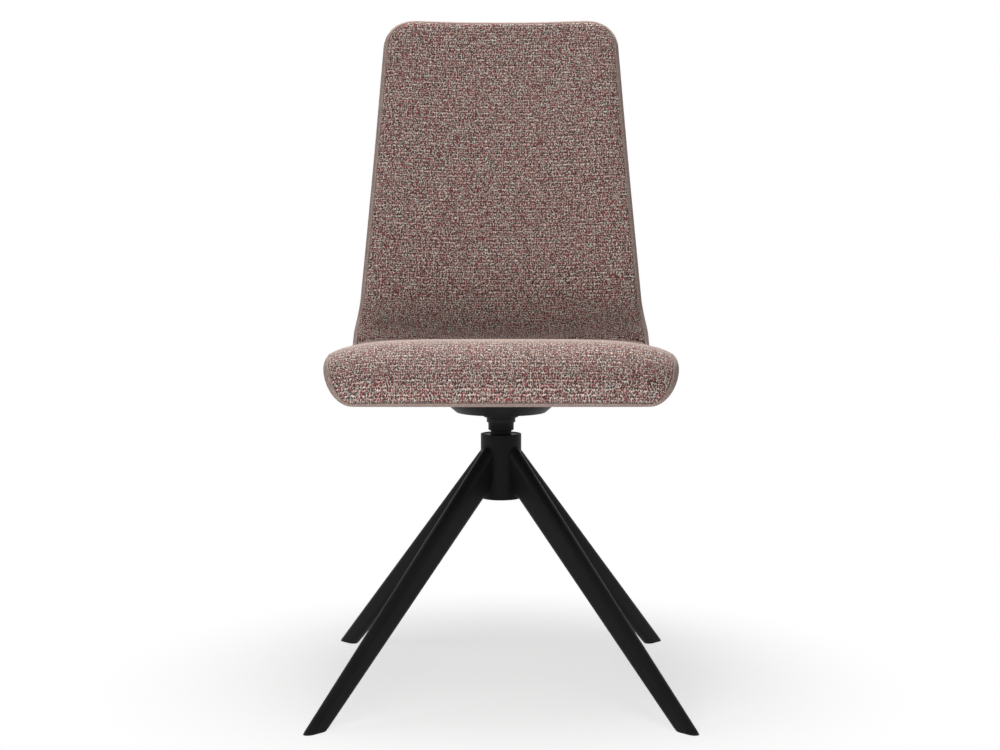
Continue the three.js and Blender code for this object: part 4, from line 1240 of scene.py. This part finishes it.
class CHAIR_OT_swivel(bpy.types.Operator):
    """Add the spindle's socket, its cover ring and the dish"""

    bl_idname = "chair.swivel"
    bl_label = "Swivel Socket and Dish"

    GROOVE_DEPTH = 0.7 * MM
    GROOVE_WIDTH = 1 * MM
    GROOVE_PITCH = 2.8 * MM
    GROOVES = 2
    CHAMFER = 1.6 * MM
    BOSS_WIDTH = 4 * MM
    BOSS_HEIGHT = 6.2 * MM
    WALL = 2.4 * MM
    RIM_WIDTH = 6 * MM
    FLARE_WIDTH = 14 * MM
    CORNER_WIDTH = 5 * MM
    FLOOR_RISE = 0.3 * MM
    CORNER_RISE = 0.5 * MM
    FLARE_RISE = 12.2 * MM
    RIM_RISE = 8.1 * MM
    DISH_STEPS = 144

    def execute(self, context):
        self.socket()
        self.ring()
        self.dish()
        return {"FINISHED"}

    def socket(self):
        inner = SPINDLE_RADIUS + FINE
        outline = [(inner, SOCKET_BOTTOM), (SOCKET_RADIUS - self.CHAMFER, SOCKET_BOTTOM),
                   (SOCKET_RADIUS, SOCKET_BOTTOM + self.CHAMFER)]
        for k in range(self.GROOVES):
            low = SOCKET_BOTTOM + self.CHAMFER + self.GROOVE_PITCH * (k + 1) - self.GROOVE_WIDTH
            outline += [(SOCKET_RADIUS, low), (SOCKET_RADIUS - self.GROOVE_DEPTH, low),
                        (SOCKET_RADIUS - self.GROOVE_DEPTH, low + self.GROOVE_WIDTH),
                        (SOCKET_RADIUS, low + self.GROOVE_WIDTH)]
        outline += [(SOCKET_RADIUS, SOCKET_TOP), (inner, SOCKET_TOP)]
        turned_part("socket_collar", outline, "black_paint", "seat", "seat_socket",
                    edge=0.25 * MM, segments=2)

    def ring(self):
        turned_part("collar_ring", tube_outline(SOCKET_RADIUS + FINE, RING_RADIUS, RING_BOTTOM, RING_TOP),
                    "black_plastic", "seat", "cover_ring", edge=0.7 * MM)

    def dish(self):
        """The hollow dish, turned from its boss to its rim and cut off at the underside of the seat."""
        wall = self.WALL
        flare_radius = DISH_RADIUS - self.RIM_WIDTH
        corner_radius = flare_radius - self.FLARE_WIDTH
        floor_radius = corner_radius - self.CORNER_WIDTH
        floor = DISH_BOTTOM + self.BOSS_HEIGHT
        floor_edge = floor + self.FLOOR_RISE
        corner_top = floor_edge + self.CORNER_RISE
        flare_top = corner_top + self.FLARE_RISE
        rim_top = flare_top + self.RIM_RISE
        boss_radius = RING_RADIUS + self.BOSS_WIDTH
        inner = SOCKET_RADIUS + FINE
        outside = [(inner, DISH_BOTTOM), (boss_radius, DISH_BOTTOM), (boss_radius, floor),
                   (floor_radius, floor_edge), (corner_radius, corner_top), (flare_radius, flare_top),
                   (DISH_RADIUS, rim_top), (DISH_RADIUS, SEAT_MID_HEIGHT)]
        inside = [(DISH_RADIUS - wall, SEAT_MID_HEIGHT), (DISH_RADIUS - wall, rim_top),
                  (flare_radius - wall, flare_top + wall / 2), (corner_radius - wall / 2, corner_top + wall),
                  (floor_radius - wall, floor_edge + wall), (inner, floor + wall)]
        dish = turned("dish_shell", outside + inside, steps=self.DISH_STEPS)
        make_active(dish)
        bpy.ops.object.mode_set(mode="EDIT")
        bpy.ops.mesh.select_all(action="SELECT")
        normal = Vector((0, math.sin(SEAT_TILT), math.cos(SEAT_TILT)))
        level = Vector((0, AXIS_Y, SEAT_MID_HEIGHT)) - normal * SEAT_HALF_THICKNESS
        bpy.ops.mesh.bisect(plane_co=level, plane_no=normal, use_fill=False, clear_outer=True)
        bpy.ops.mesh.fill_holes(sides=0)
        bpy.ops.object.mode_set(mode="OBJECT")
        soften(dish, 1.2 * MM, 4)
        dress(dish, "black_plastic", "seat", "dish_cover")


class CHAIR_OT_inner_parts(bpy.types.Operator):
    """Give the parts inside the hub and the seat their finishes"""

    bl_idname = "chair.inner_parts"
    bl_label = "Inner Parts"

    def execute(self, context):
        slots = {entry["node"]: entry["material_slot"] for entry in frame["record"]["subparts"]}
        for name, node in frame["nodes"].items():
            node.data.materials.clear()
            node.data.materials.append(material_for(slots[name]))
        return {"FINISHED"}


class CHAIR_PT_parts(bpy.types.Panel):
    """Lists the chair's pieces and their sizes"""

    bl_idname = "CHAIR_PT_parts"
    bl_label = "Swivel Dining Chair"
    bl_space_type = "VIEW_3D"
    bl_region_type = "UI"
    bl_category = "Chair"

    def draw(self, context):
        layout = self.layout
        for operator in OPERATORS:
            layout.operator(operator.bl_idname)
        for group in (context.scene.chair_sizes, context.scene.chair_colours):
            box = layout.box()
            for name in group.__annotations__:
                box.prop(group, name)


OPERATORS = (
    CHAIR_OT_stage, CHAIR_OT_seat_panel, CHAIR_OT_back_panel, CHAIR_OT_covers, CHAIR_OT_edge_strip,
    CHAIR_OT_legs, CHAIR_OT_hub, CHAIR_OT_swivel, CHAIR_OT_inner_parts,
)
CLASSES = (ChairSizes, ChairColours, *OPERATORS, CHAIR_PT_parts)


def register():
    for entry in CLASSES:
        bpy.utils.register_class(entry)
    bpy.types.Scene.chair_sizes = bpy.props.PointerProperty(type=ChairSizes)
    bpy.types.Scene.chair_colours = bpy.props.PointerProperty(type=ChairColours)


def unregister():
    del bpy.types.Scene.chair_sizes
    del bpy.types.Scene.chair_colours
    for entry in reversed(CLASSES):
        bpy.utils.unregister_class(entry)


def main():
    register()
    bpy.ops.chair.stage()
    bpy.ops.chair.inner_parts()
    bpy.ops.chair.seat_panel()
    bpy.ops.chair.back_panel()
    bpy.ops.chair.covers()
    bpy.ops.chair.edge_strip()
    bpy.ops.chair.legs()
    bpy.ops.chair.hub()
    bpy.ops.chair.swivel()


if __name__ == "__main__":
    main()
